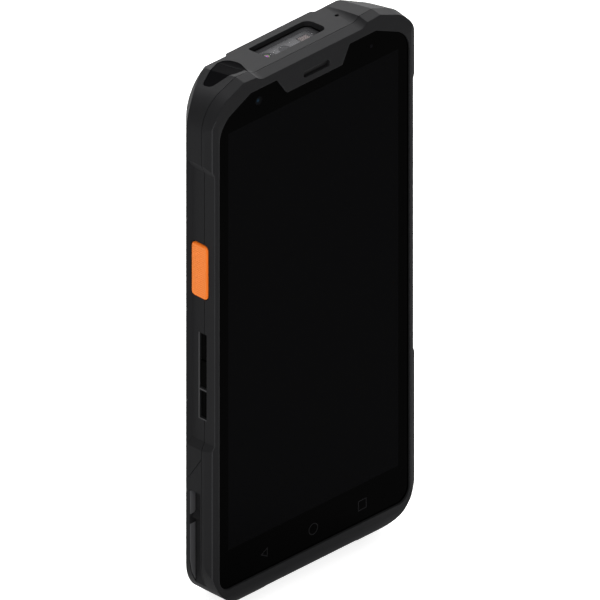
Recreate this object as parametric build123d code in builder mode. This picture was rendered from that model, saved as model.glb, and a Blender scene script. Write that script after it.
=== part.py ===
from build123d import *
import os
from math import atan, atan2, cos, radians, sin, tan

os.makedirs("parts", exist_ok=True)

# Rugged hand-held barcode terminal, in millimetres. +Z is up, the display faces -Y, X runs to the right
# of someone facing the display, and the origin is at the middle of the underside.

# ---- driving dimensions: display stack -------------------------------------------------------------
display_width = 62.48
display_height = 124.95
display_bottom = 19.0
glass_border_side = 3.66
glass_border_below = 11.3
glass_border_above = 8.75
glass_thickness = 1.1
glass_corner_radius = 4.0
glass_shoulder_slope = 0.43
glass_shoulder_inset = 2.05  # where the slanted corner begins, inwards of the wing's edge
glass_shoulder_radius = 7.5
glass_edge_radius = 0.6
tab_half_width = 10.2
tab_drop = 4.85
tab_flare = 3.2
panel_thickness = 1.8
panel_side_margin = 1.0
panel_bottom_margin = 4.0
panel_top_margin = 1.5
adhesive_thickness = 0.2
chassis_thickness = 1.0

# ---- driving dimensions: outer body ----------------------------------------------------------------
rim_width = 0.6  # flat lip round the glass, before the side bevel
lip_rise = 0.55  # that lip above the glass
lip_bevel_width = 1.69
lip_bevel_drop = 0.55
flank_swell = 0.41  # the flanks stand out this much past the bevel
side_swell_depth = 3.0  # and reach it this far behind the lip
swell_radius = 1.0
edge_radius = 0.2
head_height = 13.2  # top of the display to the top of the wings
body_depth = 16.3  # front lip to the flat back
hump_rise = 0.95  # scanner hump behind the flat back
hump_half_width = 15.45
hump_height = 38.0
rear_bevel = 6.55
shoulder_width = 12.55  # each shoulder, from the flank in to the wing
shoulder_slope = 0.375
shoulder_radius = 10.5
rear_shoulder_slope = 0.43
wing_width = 5.85
wing_lean = 0.35  # the wings slope down this much towards the channel
rear_wing_lean = 0.05  # and only this much at the back
wing_fall = 2.22  # and this much from the seam to the back
wing_edge_radius = 0.4
crown_slope = 0.2  # in front of the seam the top slopes down to the front
channel_depth = 1.42
channel_fall = 0.88  # from the seam to the back
channel_spread = 2.2  # each side of the channel moves out this much towards the back
channel_corner = 3.9
face_lean = 0.106  # slope of the front face beside and above the tab
foot_width = 17.7
foot_rise = 2.15
foot_blend = 3.4
foot_land = 1.2
foot_slope = 16  # degrees
foot_edge_radius = 1.6
foot_radius = 15.0
front_toe = 5.4
toe_ease = 1.12  # the toe's arc meets the flat faces at a slight angle
heel_rise = 3.5
rear_foot_radius = 10.5
rear_shoulder_radius = 14.6
rear_shoulder_drop = 0.05  # the rear corners begin this much below the top
flank_recess = 1.1  # hand recess between the side bumpers
flank_recess_flat = 7.9  # behind the glass face, as far as it keeps its depth
flank_recess_reach = 8.8  # behind the glass face, where it has run out
flank_recess_below = 9.1  # below the key slot
flank_recess_above = 24.3  # above the scan key
flank_ramp = 2.3
groove_count = 4
groove_first = 36.1
groove_pitch = 27.15
groove_depth = 0.45
groove_height = 1.5

# ---- driving dimensions: shells --------------------------------------------------------------------
frame_depth = 4.05  # front frame, lip to seam
seam_gap = 0.14
side_wall = 2.2
deep_side_wall = 7.4  # the walls are thicker near the back, inside the rear bevel
back_wall = 1.85
cap_side_wall = 4.6
floor_wall = 4.0
top_wall = 7.3
roof_wall = 1.3
recess_depth = 0.35  # behind the chassis plate
recess_shoulder = 6.0
cavity_shoulder = 9.4
cap_height = 40.3  # rear seam of the bottom cap
cap_rise = 7.1  # up to where the slanted seam meets the front frame
cap_slant_depth = 4.7
close_fit = 0.05
thin_fit = 0.1
fit = 0.2  # clearance between pieces that are assembled side by side

# ---- driving dimensions: battery bay, its cover and the latch --------------------------------------
door_inset = 9.1  # from the flank in to the cover
door_above_cap = 3.7
door_below_top = 42.55
door_thickness = 1.8
door_gap = 0.2
door_corner_radius = 2.0
door_ledge = 1.6
door_pin_radius = 0.5
door_pin_length = 1.4
bay_hinge_margin = 3.2
bay_roof = 1.6
bay_floor = 0.8
bay_corner_radius = 1.5
battery_gap = 0.4
battery_edge_radius = 0.8
latch_height = 7.5  # middle of the thumb pad above the cover's lower edge
latch_pad_width = 14.0
latch_pad_height = 6.0
latch_pad_thickness = 0.7
latch_corner = 1.2
latch_ridge_pitch = 1.6
latch_neck_width = 8.0
latch_neck_height = 2.4
latch_plate_width = 16.0
latch_plate_height = 9.0
latch_plate_thickness = 1.0
latch_travel = 2.4
latch_play = 0.25
contact_block_width = 12.0
contact_block_thickness = 3.0
contact_block_overlap = 3.0  # how far the contact block stands up into the upper cavity
battery_pin_count = 4
battery_pin_radius = 0.4

# ---- driving dimensions: keys, their switches and boards -------------------------------------------
scan_key_height = 16.0
scan_key_width = 5.8
scan_key_below_top = 54.05
scan_key_front = 2.15  # behind the glass face
scan_key_rise = 0.45  # above the recess
scan_key_bevel = 0.3
scan_key_corner = 1.3
scan_key_travel = 0.6
scan_flange_depth = 8.9  # behind the glass face
slot_below_scan_key = 10.6
slot_height = 25.4
slot_rib = 0.9
slot_rib_place = 8.15  # above the slot's lower end
slot_front = 2.7  # behind the glass face
slot_width = 2.6
slot_lip = 0.5  # slanted lip in front of the two volume keys
slot_lip_run = 0.8
power_key_sink = 1.3  # below the flank
volume_key_sink = 1.5
slot_key_bevel = 0.2
key_gap = 0.12
flange_thickness = 0.9
flange_overhang = 1.3
channel_margin = 1.5
channel_front_wall = 0.75
key_channel_reach = 9.2  # behind the glass face
switch_depth = 6.2  # behind the glass face
switch_height = 2.0
switch_width = 2.8
switch_length = 4.5
switch_gap = 0.08
side_board_width = 4.2
side_board_thickness = 0.7

# ---- driving dimensions: scanner and status light --------------------------------------------------
window_place = 0.9
window_half_width = 10.9
window_front = 6.4  # behind the glass face
window_width = 7.8
window_corner = 2.2
window_left_corner = 0.8
window_sink = 1.75
window_thickness = 1.0
gasket_width = 0.55
engine_half_width = 9.6
engine_height = 13.5
engine_thickness = 6.2
engine_front = 7.5  # behind the glass face
engine_well = 1.0
engine_gap = 0.25
scan_lens_place = -6.7  # from the middle of the window
scan_lens_radius = 2.3
scan_light_place = 6.9
scan_light_size = 3.8
aimer_place = -0.7
aimer_radius = 1.7
status_light_points = ((5.95, 4.85), (8.1, 10.1), (7.05, 15.5), (-5.0, 10.7), (-5.0, 7.5), (1.85, 5.1))
status_light_radii = (0.6, 4.0, 2.6, 1.5, 1.5, 4.0)  # its corners, from the wing's outer edge and the glass
status_lens_thickness = 1.5
status_lens_sink = 0.12
status_led_inset = 0.55  # from the wing's outer edge
status_led_depth = 9.5  # behind the glass face
status_led_radius = 1.3
status_led_length = 3.0

# ---- driving dimensions: sound, cameras, boards and contacts ---------------------------------------
earpiece_place = 1.0
earpiece_drop = 0.35  # below the middle of the band above the glass tab
earpiece_half_length = 4.9
earpiece_slot_height = 1.8
earpiece_wall = 1.3
receiver_length = 15.4
receiver_height = 4.0
mesh_thickness = 0.25
camera_beside_tab = 9.8
camera_lift = 1.5
camera_radius = 2.6
sensor_beside_tab = 11.1
sensor_lift = 1.0
sensor_size = 2.6
mic_inset = 0.8  # from the foot of the channel's side
mic_depth = 9.8  # behind the glass face
mic_radius = 0.6
microphone_size = 3.0
microphone_height = 1.1
rear_camera_drop = 28.0
rear_camera_radius = 4.5
rear_camera_size = 8.6
rear_camera_depth = 5.2
camera_window_thickness = 0.9
camera_window_seat = 0.9
flash_spacing = 9.5
flash_radius = 2.2
flash_thickness = 1.1
antenna_half_width = 19.0
antenna_band = 3.0
antenna_thickness = 0.25
board_gap = 0.3
board_thickness = 1.0
board_top_gap = 2.0
shield_place = -13.0
shield_width = 11.5
shield_spacing = 13.5
shield_length = 14.0
shield_height = 1.6
card_margin = 4.7
card_width = 13.0
flex_half_width = 8.0
flex_thickness = 0.2
flex_overlap = 3.0
port_half_width = 4.5
port_thickness = 3.2
port_length = 7.2
port_wall = 0.35
port_tongue_width = 6.7
port_tongue_thickness = 0.7
port_tongue_sink = 0.8
bottom_mic_place = -8.75
speaker_place = 11.0
speaker_height = 18.0
speaker_width = 16.0
speaker_length = 14.0
speaker_corner = 1.5
speaker_slot_pitch = 2.6
speaker_slot_count = 5
speaker_slot_width = 1.1
speaker_slot_length = 10.0
motor_radius = 4.0
motor_thickness = 2.8
contacts_below_seam = 8.3
contact_radius = 1.0
contact_pitch = 4.0
contact_count = 5

# ---- driving dimensions: cradle grooves and screws -------------------------------------------------
cradle_front = 3.9  # behind the glass face
cradle_width = 4.0
cradle_sink = 2.3
cradle_top = 36.7
cradle_slant = 1.8
cradle_rib_top = 30.2
cradle_rib_slope = 2.0
cradle_rib_height = 1.5
cradle_rib_foot = 0.4
screw_radius = 0.8
screw_head_radius = 2.2
screw_head_height = 1.4
screw_drive_radius = 0.9
screw_drive_depth = 0.8
screw_sink = 0.4
column_radius = 2.9
upper_screw_inset = 10.1  # from the flank
upper_screw_drop = 5.45  # below the upper edge of the display panel
lower_screw_inset = 13.6
lower_screw_lift = 4.0  # above the lower edge of the panel

# ---- planes and faces worked out from those --------------------------------------------------------
glass_half_width = display_width / 2 + glass_border_side
lip_half_width = glass_half_width + rim_width
body_half_width = lip_half_width + lip_bevel_width + flank_swell
body_height = display_bottom + display_height + head_height
wing_half_width = body_half_width - shoulder_width
channel_half_width = wing_half_width - wing_width
foot_inner = body_half_width - foot_width
front_y = -(body_depth + hump_rise) / 2
back_y = front_y + body_depth
hump_y = back_y + hump_rise
glass_y = front_y + lip_rise
glass_back_y = glass_y + glass_thickness
ledge_y = glass_back_y + adhesive_thickness
panel_back_y = glass_back_y + panel_thickness
chassis_y = panel_back_y + close_fit
chassis_back_y = chassis_y + chassis_thickness
seam_y = front_y + frame_depth
board_y = chassis_back_y + board_gap
board_back_y = board_y + board_thickness
cavity_y = chassis_back_y + recess_depth
bay_y = cavity_y + bay_floor
cavity_back_y = back_y - back_wall
door_y = back_y - door_thickness
door_seat_y = door_y - close_fit
glass_bottom = display_bottom - glass_border_below
glass_top = display_bottom + display_height + glass_border_above
tab_bottom = glass_top - tab_drop
panel_half_width = display_width / 2 + panel_side_margin
panel_bottom = display_bottom - panel_bottom_margin
panel_top = display_bottom + display_height + panel_top_margin
cavity_half_width = body_half_width - side_wall
cavity_top = body_height - top_wall
cap_half_width = body_half_width - cap_side_wall
channel_top = body_height - channel_depth  # at the seam
beyond = 40.0  # cutting solids run this far past the body
overcut = 1.0  # and cuts begin this far outside a face
rear_shoulder_top = body_height - rear_shoulder_drop
deep_half_width = body_half_width - deep_side_wall
cap_roof = cap_height - roof_wall
cap_floor = floor_wall + foot_rise
cap_peak = cap_height + cap_rise
cap_slope = (cap_peak - cap_height) / cap_slant_depth
door_half_width = body_half_width - door_inset
door_bottom = cap_height + door_above_cap
door_top = body_height - door_below_top
door_bead_radius = door_thickness / 2
hinge_y = back_y - door_bead_radius
hinge_z = door_top - door_bead_radius
bay_half_width = door_half_width - door_ledge
bay_bottom = door_bottom + door_ledge
bay_top = door_top - bay_hinge_margin
upper_floor = door_top + bay_roof
latch_z = door_bottom + latch_height
latch_face_y = door_y - latch_play
latch_back_y = latch_face_y - latch_plate_thickness
latch_plate_bottom = door_bottom + latch_play
latch_pocket_bottom = latch_plate_bottom - latch_travel - fit
contact_block_y = board_back_y + contact_block_thickness / 2
window_y = glass_y + window_front + window_width / 2
engine_y = glass_y + engine_front + engine_thickness / 2
window_top_z = channel_top - channel_fall * (window_y - seam_y) / (back_y - seam_y) - window_sink
window_seat_z = window_top_z - window_thickness
engine_top = window_seat_z - engine_gap
rear_camera_height = body_height - rear_camera_drop
status_led_y = glass_y + status_led_depth
status_led_place = -wing_half_width + status_led_inset
earpiece_z = tab_bottom + (tab_drop + 2 * lip_bevel_drop) / 2 - earpiece_drop
camera_z = tab_bottom + camera_lift
camera_place = -tab_half_width - camera_beside_tab
sensor_place = tab_half_width + sensor_beside_tab
scan_key_reach = body_half_width - flank_recess + scan_key_rise
scan_key_middle = body_height - scan_key_below_top
scan_key_root = cavity_half_width + scan_key_travel + thin_fit  # inner end of the key's shaped part
slot_top = scan_key_middle - scan_key_height / 2 - slot_below_scan_key
slot_bottom = slot_top - slot_height
scan_flange_back_y = glass_y + scan_flange_depth
switch_y = glass_y + switch_depth
port_y = board_back_y + port_thickness / 2
port_bottom = foot_rise + fit
shield_z = upper_floor + contact_block_overlap + fit + shield_length / 2
mic_y = glass_y + mic_depth
sensor_z = tab_bottom + sensor_lift
mic_place = channel_half_width - mic_inset
card_place = deep_half_width - card_margin - card_width / 2
charge_contact_height = cap_height - contacts_below_seam
upper_screw_place = body_half_width - upper_screw_inset
upper_screw_height = panel_top - upper_screw_drop
lower_screw_place = body_half_width - lower_screw_inset
lower_screws = [(side * lower_screw_place, panel_bottom + lower_screw_lift) for side in (-1, 1)]
upper_screws = [(side * upper_screw_place, upper_screw_height) for side in (-1, 1)]

# ---- outer form: front outline, plan section and side profile in common ----------------------------
def crown_section(y, height, slope, lean):
    """Everything above the wings and shoulders, as a section across the body at one depth."""
    foot = height - slope * shoulder_width
    with BuildSketch(Plane.XZ.offset(-y)) as section:
        with BuildLine():
            FilletPolyline(
                (0, height + beyond),
                (body_half_width + beyond, height + beyond),
                (body_half_width + beyond, foot - 2 * shoulder_radius),
                (body_half_width, foot - 2 * shoulder_radius),
                (body_half_width, foot),
                (wing_half_width, height),
                (channel_half_width, height - lean),
                (0, height - lean),
                radius=[0, 0, 0, shoulder_radius, wing_edge_radius, 0],
            )
            mirror(about=Plane.YZ)
        make_face()
    return section.sketch.face()


def channel_section(y, floor, half_width):
    """The channel between the wings, with softly rounded feet to its sloping sides."""
    flare = channel_corner + 2 * channel_depth
    with BuildSketch(Plane.XZ.offset(-y)) as section:
        with BuildLine():
            FilletPolyline(
                (0, floor + flare),
                (half_width + flare, floor + flare),
                (half_width, floor),
                (0, floor),
                radius=[0, channel_corner],
            )
            mirror(about=Plane.YZ)
        make_face()
    return section.sketch.face()


toe_rise = (foot_width - foot_land) * tan(radians(foot_slope))
front_run = seam_y - front_y + overcut  # from the seam to just in front of the lip
back_run = back_y - seam_y
tail_run = back_run + hump_rise + overcut  # and to just behind the hump
with BuildPart() as envelope:
    with BuildSketch(Plane.XZ):
        with BuildLine():
            FilletPolyline(
                (0, foot_rise),
                (foot_inner - foot_blend, foot_rise),
                (foot_inner, 0),
                (foot_inner + foot_land, 0),
                (body_half_width, toe_rise),
                (body_half_width, body_height),
                (0, body_height),
                radius=[*3 * [foot_edge_radius], foot_radius, 0],
            )
            mirror(about=Plane.YZ)
        make_face()
    extrude(amount=beyond, both=True)
    with BuildSketch(Plane.XY.offset(-beyond)):
        with BuildLine():
            FilletPolyline(
                (0, front_y),
                (lip_half_width, front_y),
                (lip_half_width + lip_bevel_width, front_y + lip_bevel_drop),
                (body_half_width, front_y + side_swell_depth),
                (body_half_width, back_y),
                (0, back_y),
                radius=[edge_radius, edge_radius, swell_radius, 0],
            )
            mirror(about=Plane.YZ)
        make_face()
    extrude(amount=body_height + 2 * beyond, mode=Mode.INTERSECT)
    # wings and shoulders are highest at the seam, and fall to the front and to the back
    front_height = body_height - crown_slope * front_run
    crown_front = crown_section(seam_y - front_run, front_height, shoulder_slope, wing_lean)
    crown_middle = crown_section(seam_y, body_height, shoulder_slope, wing_lean)
    back_height = body_height - wing_fall
    crown_back = crown_section(back_y, back_height, rear_shoulder_slope, rear_wing_lean)
    loft(sections=[crown_front, crown_middle], ruled=True, mode=Mode.SUBTRACT)
    loft(sections=[crown_middle, crown_back], ruled=True, mode=Mode.SUBTRACT)
    # in side view the face leans back above the tab's edge, and the toe is rounded
    lean_rise = body_height + overcut - tab_bottom
    with BuildSketch(Plane.YZ):
        with BuildLine():
            Polyline(
                (front_y, tab_bottom),
                (front_y + face_lean * lean_rise, tab_bottom + lean_rise),
                (front_y - overcut, tab_bottom + lean_rise),
                (front_y - overcut, tab_bottom),
                close=True,
            )
        make_face()
        with BuildLine():
            toe_arc = RadiusArc((front_y, front_toe), (front_y + front_toe, 0), -front_toe * toe_ease)
            Polyline(
                toe_arc @ 1,
                (front_y + front_toe, -overcut),
                (front_y - overcut, -overcut),
                (front_y - overcut, front_toe),
                toe_arc @ 0,
            )
        make_face()
    extrude(amount=beyond, both=True, mode=Mode.SUBTRACT)
    # 45 degree bevel all round the back, wide round the shoulders
    with BuildSketch(Plane.XZ.offset(-back_y - overcut)):
        with BuildLine():
            FilletPolyline(
                (0, heel_rise + overcut),
                (body_half_width - rear_bevel - overcut, heel_rise + overcut),
                (body_half_width - rear_bevel - overcut, rear_shoulder_top - overcut),
                (0, rear_shoulder_top - overcut),
                radius=[rear_foot_radius - overcut, rear_shoulder_radius - overcut],
            )
            mirror(about=Plane.YZ)
        make_face()
    extrude(amount=body_depth + 2 * overcut, taper=-45, mode=Mode.INTERSECT)
    # scanner hump on the upper back, its sides and foot at 45 degrees
    with BuildSketch(Plane.XZ.offset(-back_y + hump_rise)):
        with Locations((0, body_height - hump_height / 2)):
            Rectangle(2 * (hump_half_width + 2 * hump_rise), hump_height)
    extrude(amount=-2 * hump_rise, taper=45)
    # channel between the wings, falling gently to the front and to the back
    channel_front = channel_section(
        seam_y - front_run, channel_top - crown_slope * front_run, channel_half_width
    )
    channel_middle = channel_section(seam_y, channel_top, channel_half_width)
    channel_back = channel_section(
        seam_y + tail_run,
        channel_top - channel_fall * tail_run / back_run,
        channel_half_width + channel_spread,
    )
    loft(sections=[channel_front, channel_middle], ruled=True, mode=Mode.SUBTRACT)
    loft(sections=[channel_middle, channel_back], ruled=True, mode=Mode.SUBTRACT)
    # hand recess in both flanks, with a ramp at each end and one along its rear edge
    flank_recess_bottom = slot_bottom - flank_recess_below
    flank_recess_top = scan_key_middle + scan_key_height / 2 + flank_recess_above
    for side in (-1, 1):
        with BuildSketch(Plane.XY) as flank_plan:
            with BuildLine():
                Polyline(
                    (side * (body_half_width + overcut), front_y - overcut),
                    (side * (body_half_width - flank_recess), front_y - overcut),
                    (side * (body_half_width - flank_recess), glass_y + flank_recess_flat),
                    (side * body_half_width, glass_y + flank_recess_reach),
                    (side * (body_half_width + overcut), glass_y + flank_recess_reach),
                    close=True,
                )
            make_face()
        flank_cut = extrude(amount=body_height, mode=Mode.PRIVATE)
        with BuildSketch(Plane.XZ.offset(-back_y)) as flank_front:
            with BuildLine():
                Polyline(
                    (side * (body_half_width + overcut), flank_recess_bottom - flank_ramp),
                    (side * body_half_width, flank_recess_bottom),
                    (side * (body_half_width - flank_recess), flank_recess_bottom + flank_ramp),
                    (side * (body_half_width - flank_recess), flank_recess_top - flank_ramp),
                    (side * body_half_width, flank_recess_top),
                    (side * (body_half_width + overcut), flank_recess_top + flank_ramp),
                    close=True,
                )
            make_face()
        flank_ramps = extrude(amount=beyond, mode=Mode.PRIVATE)
        add(flank_cut & flank_ramps, mode=Mode.SUBTRACT)
        # V grooves across the rear bevel
        bevel_middle = (side * (body_half_width - rear_bevel / 2), back_y - rear_bevel / 2)
        for index in range(groove_count):
            groove_plane = Plane(
                origin=(*bevel_middle, groove_first + index * groove_pitch),
                x_dir=(0, 0, 1),
                z_dir=(1, -side, 0),
            )
            with BuildSketch(groove_plane):
                with BuildLine():
                    Polyline(
                        (-groove_height / 2, 0),
                        (groove_height / 2, 0),
                        (0, groove_depth),
                        close=True,
                    )
                make_face()
            extrude(amount=rear_bevel, both=True, mode=Mode.SUBTRACT)

# ---- outlines shared by the glass, its frame and the adhesive --------------------------------------
glass_shoulder_start = wing_half_width - glass_shoulder_inset
glass_shoulder_foot = glass_top - glass_shoulder_slope * (glass_half_width - glass_shoulder_start)
with BuildSketch(Plane.XZ) as glass_outline:
    with BuildLine():
        FilletPolyline(
            (0, glass_bottom),
            (glass_half_width, glass_bottom),
            (glass_half_width, glass_shoulder_foot),
            (glass_shoulder_start, glass_top),
            (tab_half_width + tab_flare, glass_top),
            (tab_half_width, tab_bottom),
            (0, tab_bottom),
            radius=[glass_corner_radius, glass_shoulder_radius, *3 * [glass_edge_radius]],
        )
        mirror(about=Plane.YZ)
    make_face()

# key channel: the hollow behind each flank's wall where the key flanges and their switches sit
channel_bottom = slot_bottom - channel_margin
channel_ceiling = scan_key_middle + scan_key_height / 2 + flange_overhang + channel_margin
right_channel_bottom = scan_key_middle - scan_key_height / 2 - flange_overhang - channel_margin
flange_face = cavity_half_width - fit - flange_thickness
switch_face = flange_face - scan_key_travel - switch_gap
side_board_face = switch_face - switch_height
channel_inner = side_board_face - side_board_thickness - thin_fit
channel_front_y = ledge_y + channel_front_wall
channel_back_y = glass_y + key_channel_reach
stem_front_y = channel_front_y + fit

# tunnels through the wall for the keys
scan_key_y = glass_y + scan_key_front + scan_key_width / 2
with BuildPart() as scan_key_tunnel:
    with BuildSketch(Plane.YZ.offset(cavity_half_width - close_fit)):
        with Locations((scan_key_y, scan_key_middle)):
            RectangleRounded(scan_key_width + 2 * fit, scan_key_height + 2 * fit, scan_key_corner + fit)
    extrude(amount=beyond)
slot_rib_height = slot_bottom + slot_rib_place
rib_top = slot_rib_height + slot_rib
power_key_top = (rib_top + slot_top) / 2
slot_back_y = glass_y + slot_front + slot_width
key_segments = (
    ("volume_down_key", slot_bottom, slot_rib_height, slot_lip, volume_key_sink),
    ("power_key", rib_top, power_key_top, 0, power_key_sink),
    ("volume_up_key", power_key_top, slot_top, slot_lip, volume_key_sink),
)
with BuildPart() as slot_tunnel:
    with BuildSketch(Plane.YZ.offset(-cavity_half_width + close_fit)):
        for _, low, high, lip, _ in key_segments:
            with Locations(((glass_y + slot_front + lip + slot_back_y) / 2, (low + high) / 2)):
                Rectangle(slot_width - lip, high - low)
    extrude(amount=-beyond)
    # slanted lip along the front of the volume keys
    for _, low, high, lip, _ in key_segments:
        if lip:
            with BuildSketch(Plane.XY.offset(low)):
                with BuildLine():
                    Polyline(
                        (-body_half_width, glass_y + slot_front - lip / 2),
                        (-body_half_width + flank_recess, glass_y + slot_front),
                        (-body_half_width + flank_recess + slot_lip_run, glass_y + slot_front + lip),
                        (-body_half_width, glass_y + slot_front + lip),
                        close=True,
                    )
                make_face()
            extrude(amount=high - low)

# ---- front frame -----------------------------------------------------------------------------------
with BuildPart() as front_frame:
    add(envelope.part)
    with BuildSketch(Plane.XZ.offset(-seam_y + seam_gap / 2)):
        Rectangle(4 * beyond, 8 * beyond)
    extrude(amount=-beyond, mode=Mode.SUBTRACT)
    # seat of the glass, opening for the panel, and room for the chassis plate
    with BuildSketch(Plane.XZ.offset(-ledge_y)):
        add(glass_outline.sketch)
        offset(amount=thin_fit)
    extrude(amount=beyond, mode=Mode.SUBTRACT)
    with BuildSketch(Plane.XZ.offset(-seam_y)):
        with Locations((0, (panel_bottom + panel_top) / 2)):
            Rectangle(2 * (panel_half_width + fit), panel_top - panel_bottom + 2 * fit)
    extrude(amount=beyond, mode=Mode.SUBTRACT)
    with BuildSketch(Plane.XZ.offset(-seam_y)):
        with Locations((0, (panel_bottom + panel_top) / 2)):
            Rectangle(2 * (panel_half_width + 2 * fit), panel_top - panel_bottom + 4 * fit)
    extrude(amount=seam_y - chassis_y + close_fit, mode=Mode.SUBTRACT)
    # earpiece slot and the well behind it
    with BuildSketch(Plane.XZ.offset(-seam_y)):
        with Locations((earpiece_place, earpiece_z)):
            SlotOverall(2 * earpiece_half_length, earpiece_slot_height)
    extrude(amount=beyond, mode=Mode.SUBTRACT)
    with BuildSketch(Plane.XZ.offset(-seam_y)):
        with Locations((earpiece_place, earpiece_z)):
            Rectangle(receiver_length, receiver_height)
    extrude(amount=seam_y - front_y - earpiece_wall, mode=Mode.SUBTRACT)
    # holes for the front camera and the light sensor
    with BuildSketch(Plane.XZ.offset(-seam_y)):
        with Locations((camera_place, camera_z)):
            Circle(camera_radius + fit)
        with Locations((sensor_place, sensor_z)):
            Rectangle(sensor_size + 2 * fit, sensor_size + 2 * fit)
    extrude(amount=beyond, mode=Mode.SUBTRACT)
    # key channels and tunnels
    for side in (-1, 1):
        low = channel_bottom if side < 0 else right_channel_bottom
        with BuildSketch(Plane.XY.offset(low)):
            with Locations((side * (channel_inner + cavity_half_width) / 2, (channel_front_y + seam_y) / 2)):
                Rectangle(cavity_half_width - channel_inner, seam_y - channel_front_y)
        extrude(amount=channel_ceiling - low, mode=Mode.SUBTRACT)
    add(scan_key_tunnel.part, mode=Mode.SUBTRACT)
    add(mirror(scan_key_tunnel.part, about=Plane.YZ, mode=Mode.PRIVATE), mode=Mode.SUBTRACT)
    add(slot_tunnel.part, mode=Mode.SUBTRACT)
front_frame.part.label = "front_frame"
export_step(front_frame.part, "parts/front_frame.step")

# ---- display stack ---------------------------------------------------------------------------------
with BuildPart() as touch_glass:
    with BuildSketch(Plane.XZ.offset(-glass_back_y)):
        add(glass_outline.sketch)
    extrude(amount=glass_thickness)
touch_glass.part.label = "touch_glass"
export_step(touch_glass.part, "parts/touch_glass.step")

with BuildPart() as display_panel:
    with BuildSketch(Plane.XZ.offset(-panel_back_y)):
        with Locations((0, (panel_bottom + panel_top) / 2)):
            Rectangle(2 * panel_half_width, panel_top - panel_bottom)
    extrude(amount=panel_thickness)
display_panel.part.label = "display_panel"
export_step(display_panel.part, "parts/display_panel.step")

with BuildPart() as display_adhesive:
    with BuildSketch(Plane.XZ.offset(-ledge_y)):
        add(glass_outline.sketch)
        offset(amount=-3 * thin_fit)
        with Locations((0, (panel_bottom + panel_top) / 2)):
            Rectangle(2 * (panel_half_width + fit), panel_top - panel_bottom + 2 * fit, mode=Mode.SUBTRACT)
        with Locations((camera_place, camera_z)):
            Circle(camera_radius + fit, mode=Mode.SUBTRACT)
        with Locations((sensor_place, sensor_z)):
            Rectangle(sensor_size + 2 * fit, sensor_size + 2 * fit, mode=Mode.SUBTRACT)
    extrude(amount=adhesive_thickness)
display_adhesive.part.label = "display_adhesive"
export_step(display_adhesive.part, "parts/display_adhesive.step")

with BuildPart() as mid_chassis:
    with BuildSketch(Plane.XZ.offset(-chassis_back_y)):
        with Locations((0, (panel_bottom + panel_top) / 2)):
            Rectangle(2 * panel_half_width + fit, panel_top - panel_bottom + 2 * fit)
        with Locations(*upper_screws, *lower_screws):
            Circle(screw_radius + thin_fit, mode=Mode.SUBTRACT)
    extrude(amount=chassis_thickness)
mid_chassis.part.label = "mid_chassis"
export_step(mid_chassis.part, "parts/mid_chassis.step")

# ---- rear housing and bottom cap: the envelope behind the seam, parted by the cap's slanted seam ---
with BuildPart() as cap_block:
    with BuildSketch(Plane.YZ):
        with BuildLine():
            Polyline(
                (seam_y - beyond, cap_peak + cap_slope * beyond),
                (seam_y, cap_peak),
                (seam_y + cap_slant_depth, cap_height),
                (back_y + beyond, cap_height),
                (back_y + beyond, -beyond),
                (seam_y - beyond, -beyond),
                close=True,
            )
        make_face()
    extrude(amount=2 * beyond, both=True)
half_seam = Location((0, tan(atan(cap_slope) / 2) * seam_gap / 2, seam_gap / 2))

def window_outline(z, inset):
    """The scanner's pocket from above, or a smaller copy of it; its left corners are tighter."""
    with BuildSketch(Plane.XY.offset(z)) as outline:
        with BuildLine():
            FilletPolyline(
                (window_place - window_half_width, window_y - window_width / 2),
                (window_place + window_half_width, window_y - window_width / 2),
                (window_place + window_half_width, window_y + window_width / 2),
                (window_place - window_half_width, window_y + window_width / 2),
                radius=[window_left_corner, window_corner, window_corner, window_left_corner],
                close=True,
            )
        make_face()
        if inset:
            offset(amount=-inset, mode=Mode.REPLACE)
    return outline.sketch


# leaf-shaped status light at the left shoulder: its outline, and the pocket that holds it
with BuildSketch(Plane.XY.offset(cavity_top)) as status_outline:
    with BuildLine():
        FilletPolyline(
            *[(across - wing_half_width, glass_y + depth) for across, depth in status_light_points],
            radius=[*status_light_radii],
            close=True,
        )
    make_face()
with BuildPart() as status_pocket:
    with BuildSketch(Plane.XY.offset(cavity_top)):
        add(status_outline.sketch)
        offset(amount=thin_fit)
    extrude(amount=beyond)
    pocket_floor = Location((0, 0, -status_lens_sink - status_lens_thickness - thin_fit))
    add(envelope.part.moved(pocket_floor), mode=Mode.SUBTRACT)

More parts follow.
